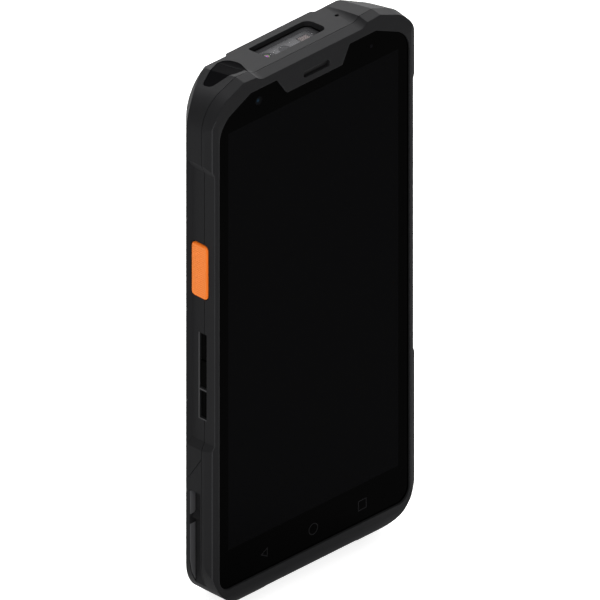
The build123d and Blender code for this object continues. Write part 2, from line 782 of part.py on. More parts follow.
with BuildPart() as rear_housing:
    add(envelope.part)
    with BuildSketch(Plane.XZ.offset(-seam_y - seam_gap / 2)):
        Rectangle(4 * beyond, 8 * beyond)
    extrude(amount=beyond, mode=Mode.SUBTRACT)
    add(cap_block.part.moved(half_seam), mode=Mode.SUBTRACT)
    # shallow recess behind the chassis plate
    with BuildSketch(Plane.XZ.offset(-seam_y)):
        with BuildLine():
            Polyline(
                (-cavity_half_width, -overcut),
                (cavity_half_width, -overcut),
                (cavity_half_width, cavity_top - recess_shoulder),
                (cavity_half_width - recess_shoulder, cavity_top),
                (-cavity_half_width + recess_shoulder, cavity_top),
                (-cavity_half_width, cavity_top - recess_shoulder),
                close=True,
            )
        make_face()
    extrude(amount=-(cavity_y - seam_y), mode=Mode.SUBTRACT)
    # upper cavity for the main board, camera and scanner
    with BuildSketch(Plane.XZ.offset(-cavity_y + overcut)):
        with BuildLine():
            Polyline(
                (-deep_half_width, upper_floor),
                (deep_half_width, upper_floor),
                (deep_half_width, cavity_top - cavity_shoulder),
                (deep_half_width - cavity_shoulder, cavity_top),
                (-deep_half_width + cavity_shoulder, cavity_top),
                (-deep_half_width, cavity_top - cavity_shoulder),
                close=True,
            )
        make_face()
        with Locations(*upper_screws):
            Circle(column_radius, mode=Mode.SUBTRACT)
    extrude(amount=-(cavity_back_y - cavity_y + overcut), mode=Mode.SUBTRACT)
    # well for the scan engine, its window's seat and the pocket above it
    with BuildSketch(Plane.XY.offset(cavity_top - overcut)):
        with Locations((window_place, engine_y)):
            Rectangle(2 * (engine_half_width + fit), engine_thickness + 2 * fit)
    extrude(amount=window_seat_z - cavity_top + 2 * overcut, mode=Mode.SUBTRACT)
    extrude(window_outline(window_seat_z, 0), amount=beyond, mode=Mode.SUBTRACT)
    # battery bay, door recess and the hinge groove with its pin sockets
    with BuildSketch(Plane.XZ.offset(-bay_y)):
        with Locations((0, (bay_bottom + bay_top) / 2)):
            RectangleRounded(2 * bay_half_width, bay_top - bay_bottom, bay_corner_radius)
    extrude(amount=-beyond, mode=Mode.SUBTRACT)
    with BuildSketch(Plane.XZ.offset(-door_seat_y)):
        with BuildLine():
            FilletPolyline(
                (0, door_bottom - door_gap),
                (door_half_width + door_gap, door_bottom - door_gap),
                (door_half_width + door_gap, hinge_z),
                (0, hinge_z),
                radius=[door_corner_radius + door_gap, 0],
            )
            mirror(about=Plane.YZ)
        make_face()
    extrude(amount=-beyond, mode=Mode.SUBTRACT)
    with BuildSketch(Plane.YZ.offset(-door_half_width - door_gap)):
        with Locations((hinge_y, hinge_z)):
            Circle(door_bead_radius + door_gap)
    extrude(amount=2 * (door_half_width + door_gap), mode=Mode.SUBTRACT)
    with BuildSketch(Plane.YZ.offset(-door_half_width - door_pin_length - 2 * door_gap)):
        with Locations((hinge_y, hinge_z)):
            Circle(door_pin_radius + thin_fit)
    extrude(amount=2 * (door_half_width + door_pin_length + 2 * door_gap), mode=Mode.SUBTRACT)
    # pocket behind the sill where the latch tongue travels
    with BuildSketch(Plane.XZ.offset(-latch_back_y + latch_play)):
        with Locations((0, (latch_pocket_bottom + bay_bottom + overcut) / 2)):
            Rectangle(latch_plate_width + 2 * fit, bay_bottom + overcut - latch_pocket_bottom)
    extrude(amount=-(door_seat_y - latch_back_y + latch_play), mode=Mode.SUBTRACT)
    # slot through the bay's upper wall for the battery contacts
    with BuildSketch(Plane.XY.offset(bay_top - overcut)):
        with Locations((0, contact_block_y)):
            Rectangle(contact_block_width + 2 * thin_fit, contact_block_thickness + 2 * thin_fit)
    extrude(amount=upper_floor - bay_top + 2 * overcut, mode=Mode.SUBTRACT)
    # key channels and tunnels
    for side in (-1, 1):
        low = channel_bottom if side < 0 else right_channel_bottom
        with BuildSketch(Plane.XY.offset(low)):
            with Locations((side * (channel_inner + cavity_half_width) / 2, (channel_back_y + seam_y) / 2)):
                Rectangle(cavity_half_width - channel_inner, channel_back_y - seam_y)
        extrude(amount=channel_ceiling - low, mode=Mode.SUBTRACT)
    add(scan_key_tunnel.part, mode=Mode.SUBTRACT)
    add(mirror(scan_key_tunnel.part, about=Plane.YZ, mode=Mode.PRIVATE), mode=Mode.SUBTRACT)
    add(slot_tunnel.part, mode=Mode.SUBTRACT)
    # microphone hole in the channel between the wings
    with BuildSketch(Plane.XY.offset(cavity_top - overcut)):
        with Locations((mic_place, mic_y)):
            Circle(mic_radius)
    extrude(amount=beyond, mode=Mode.SUBTRACT)
    # rear camera window, flash lens and their passages
    with BuildSketch(Plane.XZ.offset(-hump_y - overcut)):
        with Locations((0, rear_camera_height)):
            Circle(rear_camera_radius + thin_fit)
    extrude(amount=overcut + camera_window_thickness + thin_fit, mode=Mode.SUBTRACT)
    with BuildSketch(Plane.XZ.offset(-hump_y)):
        with Locations((0, rear_camera_height)):
            Circle(rear_camera_radius - camera_window_seat)
        with Locations((flash_spacing, rear_camera_height)):
            Circle(flash_radius + thin_fit)
    extrude(amount=hump_rise + back_wall + overcut, mode=Mode.SUBTRACT)
    # screw holes through the columns
    with BuildSketch(Plane.XZ.offset(-back_y - overcut)):
        with Locations(*upper_screws):
            Circle(screw_head_radius + fit)
    extrude(amount=overcut + screw_sink + screw_head_height, mode=Mode.SUBTRACT)
    with BuildSketch(Plane.XZ.offset(-back_y - overcut)):
        with Locations(*upper_screws):
            Circle(screw_radius + thin_fit)
    extrude(amount=beyond, mode=Mode.SUBTRACT)
    # pocket of the status light lens and the light's well
    with BuildSketch(Plane.XY.offset(cavity_top - overcut)):
        with Locations((status_led_place, status_led_y)):
            Circle(status_led_radius + fit)
    extrude(amount=beyond, mode=Mode.SUBTRACT)
    add(status_pocket.part, mode=Mode.SUBTRACT)
rear_housing.part.label = "rear_housing"
export_step(rear_housing.part, "parts/rear_housing.step")

with BuildPart() as status_light_lens:
    add(status_outline.sketch)
    extrude(amount=beyond)
    add(envelope.part.moved(Location((0, 0, -status_lens_sink))), mode=Mode.INTERSECT)
    add(envelope.part.moved(Location((0, 0, -status_lens_sink - status_lens_thickness))), mode=Mode.SUBTRACT)
status_light_lens.part.label = "status_light_lens"
export_step(status_light_lens.part, "parts/status_light_lens.step")

with BuildPart() as status_led:
    with BuildSketch(Plane.XY.offset(cavity_top)):
        with Locations((status_led_place, status_led_y)):
            Circle(status_led_radius)
    extrude(amount=status_led_length)
status_led.part.label = "status_led"
export_step(status_led.part, "parts/status_led.step")

with BuildPart() as bottom_cap:
    add(envelope.part)
    with BuildSketch(Plane.XZ.offset(-seam_y - seam_gap / 2)):
        Rectangle(4 * beyond, 8 * beyond)
    extrude(amount=beyond, mode=Mode.SUBTRACT)
    add(cap_block.part.moved(half_seam.inverse()), mode=Mode.INTERSECT)
    # recess behind the chassis plate, open to the rear housing above
    with BuildSketch(Plane.XZ.offset(-seam_y)):
        with Locations((0, cap_floor + beyond)):
            Rectangle(2 * cap_half_width, 2 * beyond)
    extrude(amount=-(cavity_y - seam_y), mode=Mode.SUBTRACT)
    # cavity for the lower board, loudspeaker and motor, round the screw columns
    with BuildSketch(Plane.XZ.offset(-cavity_y + overcut)):
        with BuildLine():
            Polyline(
                (-deep_half_width, cap_roof),
                (-deep_half_width, cap_floor + cavity_shoulder),
                (-deep_half_width + cavity_shoulder, cap_floor),
                (deep_half_width - cavity_shoulder, cap_floor),
                (deep_half_width, cap_floor + cavity_shoulder),
                (deep_half_width, cap_roof),
                close=True,
            )
        make_face()
        with Locations(*lower_screws):
            Circle(column_radius, mode=Mode.SUBTRACT)
    extrude(amount=-(cavity_back_y - cavity_y + overcut), mode=Mode.SUBTRACT)
    # cradle grooves: open below, slanted above, with a rib across
    rib_bottom = cradle_rib_top - cradle_rib_slope - cradle_rib_foot
    groove_face = body_half_width - cradle_sink
    for side in (-1, 1):
        with BuildSketch(Plane.XZ.offset(-glass_y - cradle_front)):
            with BuildLine():
                Polyline(
                    (side * (body_half_width + overcut), cradle_top),
                    (side * body_half_width, cradle_top),
                    (side * groove_face, cradle_top - cradle_slant),
                    (side * groove_face, cradle_rib_top),
                    (side * (groove_face + cradle_rib_height), cradle_rib_top - cradle_rib_slope),
                    (side * groove_face, rib_bottom),
                    (side * groove_face, -overcut),
                    (side * (body_half_width + overcut), -overcut),
                    close=True,
                )
            make_face()
        extrude(amount=-cradle_width, mode=Mode.SUBTRACT)
    # socket for the charging port, in the floor
    with BuildSketch(Plane.XY.offset(-overcut)):
        with Locations((0, port_y)):
            SlotOverall(2 * (port_half_width + fit), port_thickness + 2 * fit)
    extrude(amount=cap_floor + 2 * overcut, mode=Mode.SUBTRACT)
    # microphone hole beside it
    with BuildSketch(Plane.XY.offset(-overcut)):
        with Locations((bottom_mic_place, port_y)):
            Circle(mic_radius)
    extrude(amount=cap_floor + 2 * overcut, mode=Mode.SUBTRACT)
    # loudspeaker slots, charging contact holes and screw holes in the back
    with BuildSketch(Plane.XZ.offset(-back_y - overcut)):
        with Locations((speaker_place, speaker_height)):
            with GridLocations(speaker_slot_pitch, 0, speaker_slot_count, 1):
                SlotOverall(speaker_slot_length, speaker_slot_width, rotation=90)
        with Locations((0, charge_contact_height)):
            with GridLocations(contact_pitch, 0, contact_count, 1):
                Circle(contact_radius + thin_fit)
        with Locations(*lower_screws):
            Circle(screw_radius + thin_fit)
    extrude(amount=back_wall + 2 * overcut, mode=Mode.SUBTRACT)
    with BuildSketch(Plane.XZ.offset(-back_y - overcut)):
        with Locations(*lower_screws):
            Circle(screw_head_radius + fit)
    extrude(amount=overcut + screw_sink + screw_head_height, mode=Mode.SUBTRACT)
    with BuildSketch(Plane.XZ.offset(-back_y - overcut)):
        with Locations(*lower_screws):
            Circle(screw_radius + thin_fit)
    extrude(amount=beyond, mode=Mode.SUBTRACT)
bottom_cap.part.label = "bottom_cap"
export_step(bottom_cap.part, "parts/bottom_cap.step")

with BuildPart() as housing_screws:
    with BuildSketch(Plane.XZ.offset(-back_y + screw_sink)):
        with Locations(*upper_screws, *lower_screws):
            Circle(screw_head_radius)
    extrude(amount=screw_head_height)
    with BuildSketch(Plane.XZ.offset(-back_y + screw_sink)):
        with Locations(*upper_screws, *lower_screws):
            Circle(screw_radius)
    extrude(amount=back_y - screw_sink - chassis_y)
    with BuildSketch(Plane.XZ.offset(-back_y + screw_sink)):
        with Locations(*upper_screws, *lower_screws):
            RegularPolygon(screw_drive_radius, 6)
    extrude(amount=screw_drive_depth, mode=Mode.SUBTRACT)
housing_screws.part.label = "housing_screws"
export_step(housing_screws.part, "parts/housing_screws.step")

# ---- battery, its cover and the latch --------------------------------------------------------------
battery_back_y = latch_back_y - latch_play
with BuildPart() as battery_pack:
    with BuildSketch(Plane.XZ.offset(-bay_y - fit / 2)):
        with Locations((0, (bay_bottom + bay_top) / 2)):
            RectangleRounded(
                2 * (bay_half_width - battery_gap), bay_top - bay_bottom - 2 * battery_gap, bay_corner_radius
            )
    extrude(amount=-(battery_back_y - bay_y - fit / 2))
    fillet(battery_pack.faces().sort_by(Axis.Y)[-1].edges(), radius=battery_edge_radius)
battery_pack.part.label = "battery_pack"
export_step(battery_pack.part, "parts/battery_pack.step")

with BuildPart() as battery_contacts:
    with BuildSketch(Plane.XY.offset(bay_top)):
        with Locations((0, contact_block_y)):
            Rectangle(contact_block_width, contact_block_thickness)
    extrude(amount=upper_floor - bay_top + contact_block_overlap)
    with BuildSketch(Plane.XY.offset(bay_top - battery_gap + thin_fit)):
        with Locations((0, contact_block_y + thin_fit)):
            with GridLocations(contact_block_width / battery_pin_count, 0, battery_pin_count, 1):
                Circle(battery_pin_radius)
    extrude(amount=battery_gap)
battery_contacts.part.label = "battery_contacts"
export_step(battery_contacts.part, "parts/battery_contacts.step")

with BuildPart() as battery_cover:
    with BuildSketch(Plane.XZ.offset(-door_y)):
        with BuildLine():
            FilletPolyline(
                (0, door_bottom),
                (door_half_width, door_bottom),
                (door_half_width, hinge_z),
                (0, hinge_z),
                radius=[door_corner_radius, 0],
            )
            mirror(about=Plane.YZ)
        make_face()
    extrude(amount=-door_thickness)
    with BuildSketch(Plane.YZ.offset(-door_half_width)):
        with Locations((hinge_y, hinge_z)):
            Circle(door_bead_radius)
    extrude(amount=2 * door_half_width)
    with BuildSketch(Plane.YZ.offset(-door_half_width - door_pin_length)):
        with Locations((hinge_y, hinge_z)):
            Circle(door_pin_radius)
    extrude(amount=2 * (door_half_width + door_pin_length))
    # recess for the thumb pad, and the slot its neck slides in
    with BuildSketch(Plane.XZ.offset(-back_y)):
        with Locations((0, latch_z - latch_travel / 2)):
            RectangleRounded(
                latch_pad_width + 2 * fit, latch_pad_height + latch_travel + 2 * fit, latch_corner + fit
            )
    extrude(amount=latch_pad_thickness + thin_fit, mode=Mode.SUBTRACT)
    with BuildSketch(Plane.XZ.offset(-back_y)):
        with Locations((0, latch_z - latch_travel / 2)):
            Rectangle(latch_neck_width + 2 * fit, latch_neck_height + latch_travel + 2 * fit)
    extrude(amount=beyond, mode=Mode.SUBTRACT)
battery_cover.part.label = "battery_cover"
export_step(battery_cover.part, "parts/battery_cover.step")

with BuildPart() as battery_latch:
    with BuildSketch(Plane.XZ.offset(-back_y + latch_pad_thickness)):
        with Locations((0, latch_z)):
            RectangleRounded(latch_pad_width, latch_pad_height, latch_corner)
    extrude(amount=-latch_pad_thickness)
    with BuildSketch(Plane.XZ.offset(-latch_face_y)):
        with Locations((0, latch_z)):
            Rectangle(latch_neck_width, latch_neck_height)
    extrude(amount=-(back_y - latch_pad_thickness - latch_face_y))
    with BuildSketch(Plane.XZ.offset(-latch_back_y)):
        with Locations((0, latch_plate_bottom + latch_plate_height / 2)):
            Rectangle(latch_plate_width, latch_plate_height)
    extrude(amount=-latch_plate_thickness)
    # grip ridges across the pad
    with BuildSketch(Plane.XZ.offset(-back_y)):
        with Locations((0, latch_z)):
            with GridLocations(0, latch_ridge_pitch, 1, 3):
                Rectangle(latch_pad_width - 2 * latch_corner, latch_ridge_pitch / 3)
    extrude(amount=latch_pad_thickness / 3, mode=Mode.SUBTRACT)
battery_latch.part.label = "battery_latch"
export_step(battery_latch.part, "parts/battery_latch.step")

# ---- keys, their switches and boards ---------------------------------------------------------------
for side, name in ((-1, "left"), (1, "right")):
    with BuildPart() as scan_key:
        with BuildSketch(Plane.YZ.offset(side * scan_key_root)):
            with Locations((scan_key_y, scan_key_middle)):
                RectangleRounded(scan_key_width, scan_key_height, scan_key_corner)
        extrude(amount=side * (scan_key_reach - scan_key_root))
        outer_face = scan_key.faces().sort_by(Axis.X)[-1 if side > 0 else 0]
        chamfer(outer_face.edges(), length=scan_key_bevel)
        with BuildSketch(Plane.YZ.offset(side * flange_face)):
            with Locations(((channel_front_y + fit + scan_flange_back_y) / 2, scan_key_middle)):
                Rectangle(
                    scan_flange_back_y - channel_front_y - fit, scan_key_height + 2 * flange_overhang
                )
        extrude(amount=side * flange_thickness)
        stem_back_y = scan_key_y + scan_key_width / 2
        with BuildSketch(Plane.YZ.offset(side * flange_face)):
            with Locations(((stem_front_y + stem_back_y) / 2, scan_key_middle)):
                Rectangle(stem_back_y - stem_front_y, scan_key_height - 2 * scan_key_corner)
        extrude(amount=side * (scan_key_root + fit - flange_face))
    scan_key.part.label = f"scan_key_{name}"
    export_step(scan_key.part, f"parts/scan_key_{name}.step")

    with BuildPart() as scan_switch:
        with BuildSketch(Plane.YZ.offset(side * side_board_face)):
            with Locations((switch_y, scan_key_middle)):
                Rectangle(switch_width, switch_length)
        extrude(amount=side * switch_height)
    scan_switch.part.label = f"scan_switch_{name}"
    export_step(scan_switch.part, f"parts/scan_switch_{name}.step")

    board_bottom = (channel_bottom if side < 0 else right_channel_bottom) + fit
    board_top = channel_ceiling - fit
    with BuildPart() as side_board:
        with BuildSketch(Plane.YZ.offset(side * (side_board_face - side_board_thickness))):
            with Locations((switch_y, (board_bottom + board_top) / 2)):
                Rectangle(side_board_width, board_top - board_bottom)
        extrude(amount=side * side_board_thickness)
    side_board.part.label = f"side_board_{name}"
    export_step(side_board.part, f"parts/side_board_{name}.step")

for name, low, high, lip, sink in key_segments:
    front = glass_y + slot_front + lip + key_gap
    with BuildPart() as side_key:
        with BuildSketch(Plane.YZ.offset(-flange_face)):
            with Locations(((front + slot_back_y - key_gap) / 2, (low + high) / 2)):
                Rectangle(slot_back_y - key_gap - front, high - low - 2 * key_gap)
        extrude(amount=-(body_half_width - sink - flange_face))
        chamfer(side_key.faces().sort_by(Axis.X)[0].edges(), length=slot_key_bevel)
        with BuildSketch(Plane.YZ.offset(-flange_face)):
            with Locations(((front + slot_back_y + flange_overhang) / 2, (low + high) / 2)):
                Rectangle(slot_back_y + flange_overhang - front, high - low - 2 * key_gap)
        extrude(amount=-flange_thickness)
    side_key.part.label = name
    export_step(side_key.part, f"parts/{name}.step")

with BuildPart() as side_key_switches:
    for _, low, high, _, _ in key_segments:
        with BuildSketch(Plane.YZ.offset(-side_board_face)):
            with Locations((switch_y, (low + high) / 2)):
                Rectangle(switch_width, switch_length)
        extrude(amount=-switch_height)
side_key_switches.part.label = "side_key_switches"
export_step(side_key_switches.part, "parts/side_key_switches.step")

# ---- scanner ---------------------------------------------------------------------------------------
with BuildPart() as scan_window:
    extrude(window_outline(window_seat_z, gasket_width), amount=window_thickness)
scan_window.part.label = "scan_window"
export_step(scan_window.part, "parts/scan_window.step")

with BuildPart() as scan_window_gasket:
    gasket_height = window_thickness + thin_fit
    extrude(window_outline(window_seat_z, thin_fit / 2), amount=gasket_height)
    inner = window_outline(window_seat_z, gasket_width - thin_fit / 2)
    extrude(inner, amount=gasket_height, mode=Mode.SUBTRACT)
scan_window_gasket.part.label = "scan_window_gasket"
export_step(scan_window_gasket.part, "parts/scan_window_gasket.step")

with BuildPart() as scan_engine:
    with BuildSketch(Plane.XY.offset(engine_top - engine_height)):
        with Locations((window_place, engine_y)):
            Rectangle(2 * engine_half_width, engine_thickness)
    extrude(amount=engine_height)
    with BuildSketch(Plane.XY.offset(engine_top)):
        with Locations((window_place + scan_lens_place, engine_y)):
            Circle(scan_lens_radius + thin_fit)
        with Locations((window_place + aimer_place, engine_y)):
            Circle(aimer_radius + thin_fit)
        with Locations((window_place + scan_light_place, engine_y)):
            Rectangle(scan_light_size + 2 * thin_fit, scan_light_size + 2 * thin_fit)
    extrude(amount=-engine_well, mode=Mode.SUBTRACT)
scan_engine.part.label = "scan_engine"
export_step(scan_engine.part, "parts/scan_engine.step")

with BuildPart() as scan_lens:
    with BuildSketch(Plane.XY.offset(engine_top - engine_well)):
        with Locations((window_place + scan_lens_place, engine_y)):
            Circle(scan_lens_radius)
    extrude(amount=engine_well)
    fillet(scan_lens.faces().sort_by(Axis.Z)[-1].edges(), radius=engine_well * 0.7)
scan_lens.part.label = "scan_lens"
export_step(scan_lens.part, "parts/scan_lens.step")

with BuildPart() as aimer:
    with BuildSketch(Plane.XY.offset(engine_top - engine_well)):
        with Locations((window_place + aimer_place, engine_y)):
            Circle(aimer_radius)
    extrude(amount=engine_well * 0.8)
aimer.part.label = "aimer"
export_step(aimer.part, "parts/aimer.step")

with BuildPart() as illumination_led:
    with BuildSketch(Plane.XY.offset(engine_top - engine_well)):
        with Locations((window_place + scan_light_place, engine_y)):
            Rectangle(scan_light_size, scan_light_size)
    extrude(amount=engine_well * 0.8)
illumination_led.part.label = "illumination_led"
export_step(illumination_led.part, "parts/illumination_led.step")

# ---- earpiece, front camera, light sensor ----------------------------------------------------------
earpiece_back_y = front_y + earpiece_wall
with BuildPart() as earpiece_mesh:
    with BuildSketch(Plane.XZ.offset(-earpiece_back_y - mesh_thickness)):
        with Locations((earpiece_place, earpiece_z)):
            SlotOverall(2 * (earpiece_half_length + earpiece_slot_height / 2), 2 * earpiece_slot_height)
    extrude(amount=mesh_thickness)
earpiece_mesh.part.label = "earpiece_mesh"
export_step(earpiece_mesh.part, "parts/earpiece_mesh.step")

with BuildPart() as earpiece_receiver:
    with BuildSketch(Plane.XZ.offset(-seam_y + thin_fit + seam_gap)):
        with Locations((earpiece_place, earpiece_z)):
            RectangleRounded(receiver_length - 2 * fit, receiver_height - 2 * fit, 0.8)
    extrude(amount=seam_y - thin_fit - seam_gap - earpiece_back_y - mesh_thickness)
earpiece_receiver.part.label = "earpiece_receiver"
export_step(earpiece_receiver.part, "parts/earpiece_receiver.step")

with BuildPart() as front_camera:
    with BuildSketch(Plane.XZ.offset(-seam_y + thin_fit + seam_gap)):
        with Locations((camera_place, camera_z)):
            Circle(camera_radius)
    extrude(amount=seam_y - thin_fit - seam_gap - glass_back_y)
front_camera.part.label = "front_camera"
export_step(front_camera.part, "parts/front_camera.step")

with BuildPart() as light_sensor:
    with BuildSketch(Plane.XZ.offset(-seam_y + thin_fit + seam_gap)):
        with Locations((sensor_place, sensor_z)):
            Rectangle(sensor_size, sensor_size)
    extrude(amount=seam_y - thin_fit - seam_gap - glass_back_y)
light_sensor.part.label = "light_sensor"
export_step(light_sensor.part, "parts/light_sensor.step")

# ---- boards and what they carry --------------------------------------------------------------------
main_board_bottom = upper_floor + fit
main_board_waist = upper_screw_height - column_radius - fit
main_board_top = cavity_top - board_top_gap
with BuildPart() as main_board:
    with BuildSketch(Plane.XZ.offset(-board_back_y)):
        with Locations((0, (main_board_bottom + main_board_waist) / 2)):
            Rectangle(2 * (deep_half_width - fit), main_board_waist - main_board_bottom)
        with Locations((0, (main_board_bottom + main_board_top) / 2)):
            Rectangle(2 * (deep_half_width - cavity_shoulder), main_board_top - main_board_bottom)
    extrude(amount=board_thickness)
main_board.part.label = "main_board"
export_step(main_board.part, "parts/main_board.step")

with BuildPart() as board_shields:
    with BuildSketch(Plane.XZ.offset(-board_back_y - shield_height)):
        with Locations((shield_place, shield_z)):
            with GridLocations(shield_spacing, 0, 2, 1):
                RectangleRounded(shield_width, shield_length, 0.6)
    extrude(amount=shield_height)
board_shields.part.label = "board_shields"
export_step(board_shields.part, "parts/board_shields.step")

with BuildPart() as card_socket:
    with BuildSketch(Plane.XZ.offset(-board_back_y - shield_height)):
        with Locations((card_place, shield_z)):
            Rectangle(card_width, shield_length)
    extrude(amount=shield_height)
card_socket.part.label = "card_socket"
export_step(card_socket.part, "parts/card_socket.step")

with BuildPart() as main_flex:
    with BuildSketch(Plane.XZ.offset(-chassis_back_y - flex_thickness - close_fit)):
        with Locations((0, (cap_roof + main_board_bottom) / 2)):
            Rectangle(2 * flex_half_width, main_board_bottom - cap_roof + 2 * flex_overlap)
    extrude(amount=flex_thickness)
main_flex.part.label = "main_flex"
export_step(main_flex.part, "parts/main_flex.step")

lower_board_half_width = lower_screw_place - column_radius - fit
with BuildPart() as lower_board:
    with BuildSketch(Plane.XZ.offset(-board_back_y)):
        with Locations((0, (cap_floor + cap_roof) / 2)):
            Rectangle(2 * lower_board_half_width, cap_roof - cap_floor - 2 * fit)
    extrude(amount=board_thickness)
lower_board.part.label = "lower_board"
export_step(lower_board.part, "parts/lower_board.step")

with BuildPart() as microphones:
    with BuildSketch(Plane.XY.offset(cap_floor + thin_fit)):
        with Locations((bottom_mic_place, port_y)):
            Rectangle(microphone_size, port_thickness)
    extrude(amount=microphone_height)
    with BuildSketch(Plane.XY.offset(cavity_top - thin_fit)):
        with Locations((mic_place, mic_y)):
            Rectangle(microphone_size, microphone_size)
    extrude(amount=-microphone_height)
microphones.part.label = "microphones"
export_step(microphones.part, "parts/microphones.step")

with BuildPart() as usb_c_port:
    with BuildSketch(Plane.XY.offset(port_bottom)):
        with Locations((0, port_y)):
            SlotOverall(2 * port_half_width, port_thickness)
    extrude(amount=port_length)
    with BuildSketch(Plane.XY.offset(port_bottom)):
        with Locations((0, port_y)):
            SlotOverall(2 * (port_half_width - port_wall), port_thickness - 2 * port_wall)
    extrude(amount=port_length - 2 * port_wall, mode=Mode.SUBTRACT)
    with BuildSketch(Plane.XY.offset(port_bottom + port_tongue_sink)):
        with Locations((0, port_y)):
            Rectangle(port_tongue_width, port_tongue_thickness)
    extrude(amount=port_length - port_tongue_sink)
usb_c_port.part.label = "usb_c_port"
export_step(usb_c_port.part, "parts/usb_c_port.step")

with BuildPart() as loudspeaker:
    with BuildSketch(Plane.XZ.offset(-board_back_y - fit)):
        with Locations((speaker_place, speaker_height)):
            RectangleRounded(speaker_width, speaker_length, speaker_corner)
    extrude(amount=-(cavity_back_y - mesh_thickness - board_back_y - 2 * fit))
loudspeaker.part.label = "loudspeaker"
export_step(loudspeaker.part, "parts/loudspeaker.step")

with BuildPart() as speaker_mesh:
    with BuildSketch(Plane.XZ.offset(-cavity_back_y + mesh_thickness)):
        with Locations((speaker_place, speaker_height)):
            RectangleRounded(speaker_width, speaker_length, speaker_corner)
    extrude(amount=-mesh_thickness)
speaker_mesh.part.label = "speaker_mesh"
export_step(speaker_mesh.part, "parts/speaker_mesh.step")

with BuildPart() as vibration_motor:
    with BuildSketch(Plane.XZ.offset(-board_back_y)):
        with Locations((-speaker_place, speaker_height)):
            Circle(motor_radius)
    extrude(amount=-motor_thickness)
vibration_motor.part.label = "vibration_motor"
export_step(vibration_motor.part, "parts/vibration_motor.step")

with BuildPart() as charging_contacts:
    with BuildSketch(Plane.XZ.offset(-back_y + thin_fit)):
        with Locations((0, charge_contact_height)):
            with GridLocations(contact_pitch, 0, contact_count, 1):
                Circle(contact_radius)
    extrude(amount=back_wall + 2 * fit)
charging_contacts.part.label = "charging_contacts"
export_step(charging_contacts.part, "parts/charging_contacts.step")

# ---- rear camera, flash and antenna ----------------------------------------------------------------
with BuildPart() as rear_camera:
    with BuildSketch(Plane.XZ.offset(-cavity_back_y + thin_fit)):
        with Locations((0, rear_camera_height)):
            RectangleRounded(rear_camera_size, rear_camera_size, 0.8)
    extrude(amount=rear_camera_depth)
    with BuildSketch(Plane.XZ.offset(-cavity_back_y + thin_fit)):
        with Locations((0, rear_camera_height)):
            Circle(rear_camera_radius - camera_window_seat - fit)
    extrude(amount=-(hump_y - camera_window_thickness - cavity_back_y - 2 * fit))
rear_camera.part.label = "rear_camera"
export_step(rear_camera.part, "parts/rear_camera.step")

with BuildPart() as rear_camera_window:
    with BuildSketch(Plane.XZ.offset(-hump_y)):
        with Locations((0, rear_camera_height)):
            Circle(rear_camera_radius)
    extrude(amount=camera_window_thickness)
rear_camera_window.part.label = "rear_camera_window"
export_step(rear_camera_window.part, "parts/rear_camera_window.step")

with BuildPart() as flash_lens:
    with BuildSketch(Plane.XZ.offset(-hump_y + thin_fit)):
        with Locations((flash_spacing, rear_camera_height)):
            Circle(flash_radius)
    extrude(amount=hump_y - thin_fit - cavity_back_y)
flash_lens.part.label = "flash_lens"
export_step(flash_lens.part, "parts/flash_lens.step")

with BuildPart() as flash_led:
    with BuildSketch(Plane.XZ.offset(-cavity_back_y + thin_fit)):
        with Locations((flash_spacing, rear_camera_height)):
            Rectangle(2 * flash_radius - fit, 2 * flash_radius - fit)
    extrude(amount=flash_thickness)
flash_led.part.label = "flash_led"
export_step(flash_led.part, "parts/flash_led.step")

antenna_top = engine_top - engine_height - antenna_band / 3
antenna_bottom = upper_floor + antenna_band / 3
with BuildPart() as nfc_antenna:
    with BuildSketch(Plane.XZ.offset(-cavity_back_y + antenna_thickness + thin_fit)):
        with Locations((0, (antenna_bottom + antenna_top) / 2)):
            RectangleRounded(2 * antenna_half_width, antenna_top - antenna_bottom, 2)
            RectangleRounded(
                2 * (antenna_half_width - antenna_band),
                antenna_top - antenna_bottom - antenna_band,
                1.5,
                mode=Mode.SUBTRACT,
            )
    extrude(amount=-antenna_thickness)
nfc_antenna.part.label = "nfc_antenna"
export_step(nfc_antenna.part, "parts/nfc_antenna.step")
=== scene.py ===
"""Looks of a portable barcode data terminal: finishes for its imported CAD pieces, and the small printed,
moulded and optical details that sit on them. Everything is in metres, in the frame of the CAD model."""

import math

import bpy
from bpy.props import FloatProperty, IntProperty, PointerProperty, StringProperty
from bpy.types import Operator, Panel, PropertyGroup
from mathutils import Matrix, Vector


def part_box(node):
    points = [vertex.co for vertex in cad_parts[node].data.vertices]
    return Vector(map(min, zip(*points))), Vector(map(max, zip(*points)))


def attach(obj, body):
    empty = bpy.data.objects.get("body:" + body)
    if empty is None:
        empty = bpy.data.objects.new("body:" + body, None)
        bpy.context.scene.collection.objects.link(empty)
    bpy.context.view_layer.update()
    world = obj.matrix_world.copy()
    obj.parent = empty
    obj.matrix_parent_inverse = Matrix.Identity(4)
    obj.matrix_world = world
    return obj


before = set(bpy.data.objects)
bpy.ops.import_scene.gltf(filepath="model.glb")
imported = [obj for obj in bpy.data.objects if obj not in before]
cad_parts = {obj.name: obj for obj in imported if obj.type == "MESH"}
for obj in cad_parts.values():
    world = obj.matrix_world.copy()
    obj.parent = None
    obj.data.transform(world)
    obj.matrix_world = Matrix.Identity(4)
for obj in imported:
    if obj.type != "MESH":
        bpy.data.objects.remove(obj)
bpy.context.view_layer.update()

bl_info = {
    "name": "Barcode Data Terminal",
    "version": (1, 0, 0),
    "blender": (4, 5, 0),
    "location": "View3D > Sidebar > Terminal",
    "description": "Dresses the CAD model of a rugged hand-held barcode data terminal",
    "category": "Object",
}

MM = 0.001

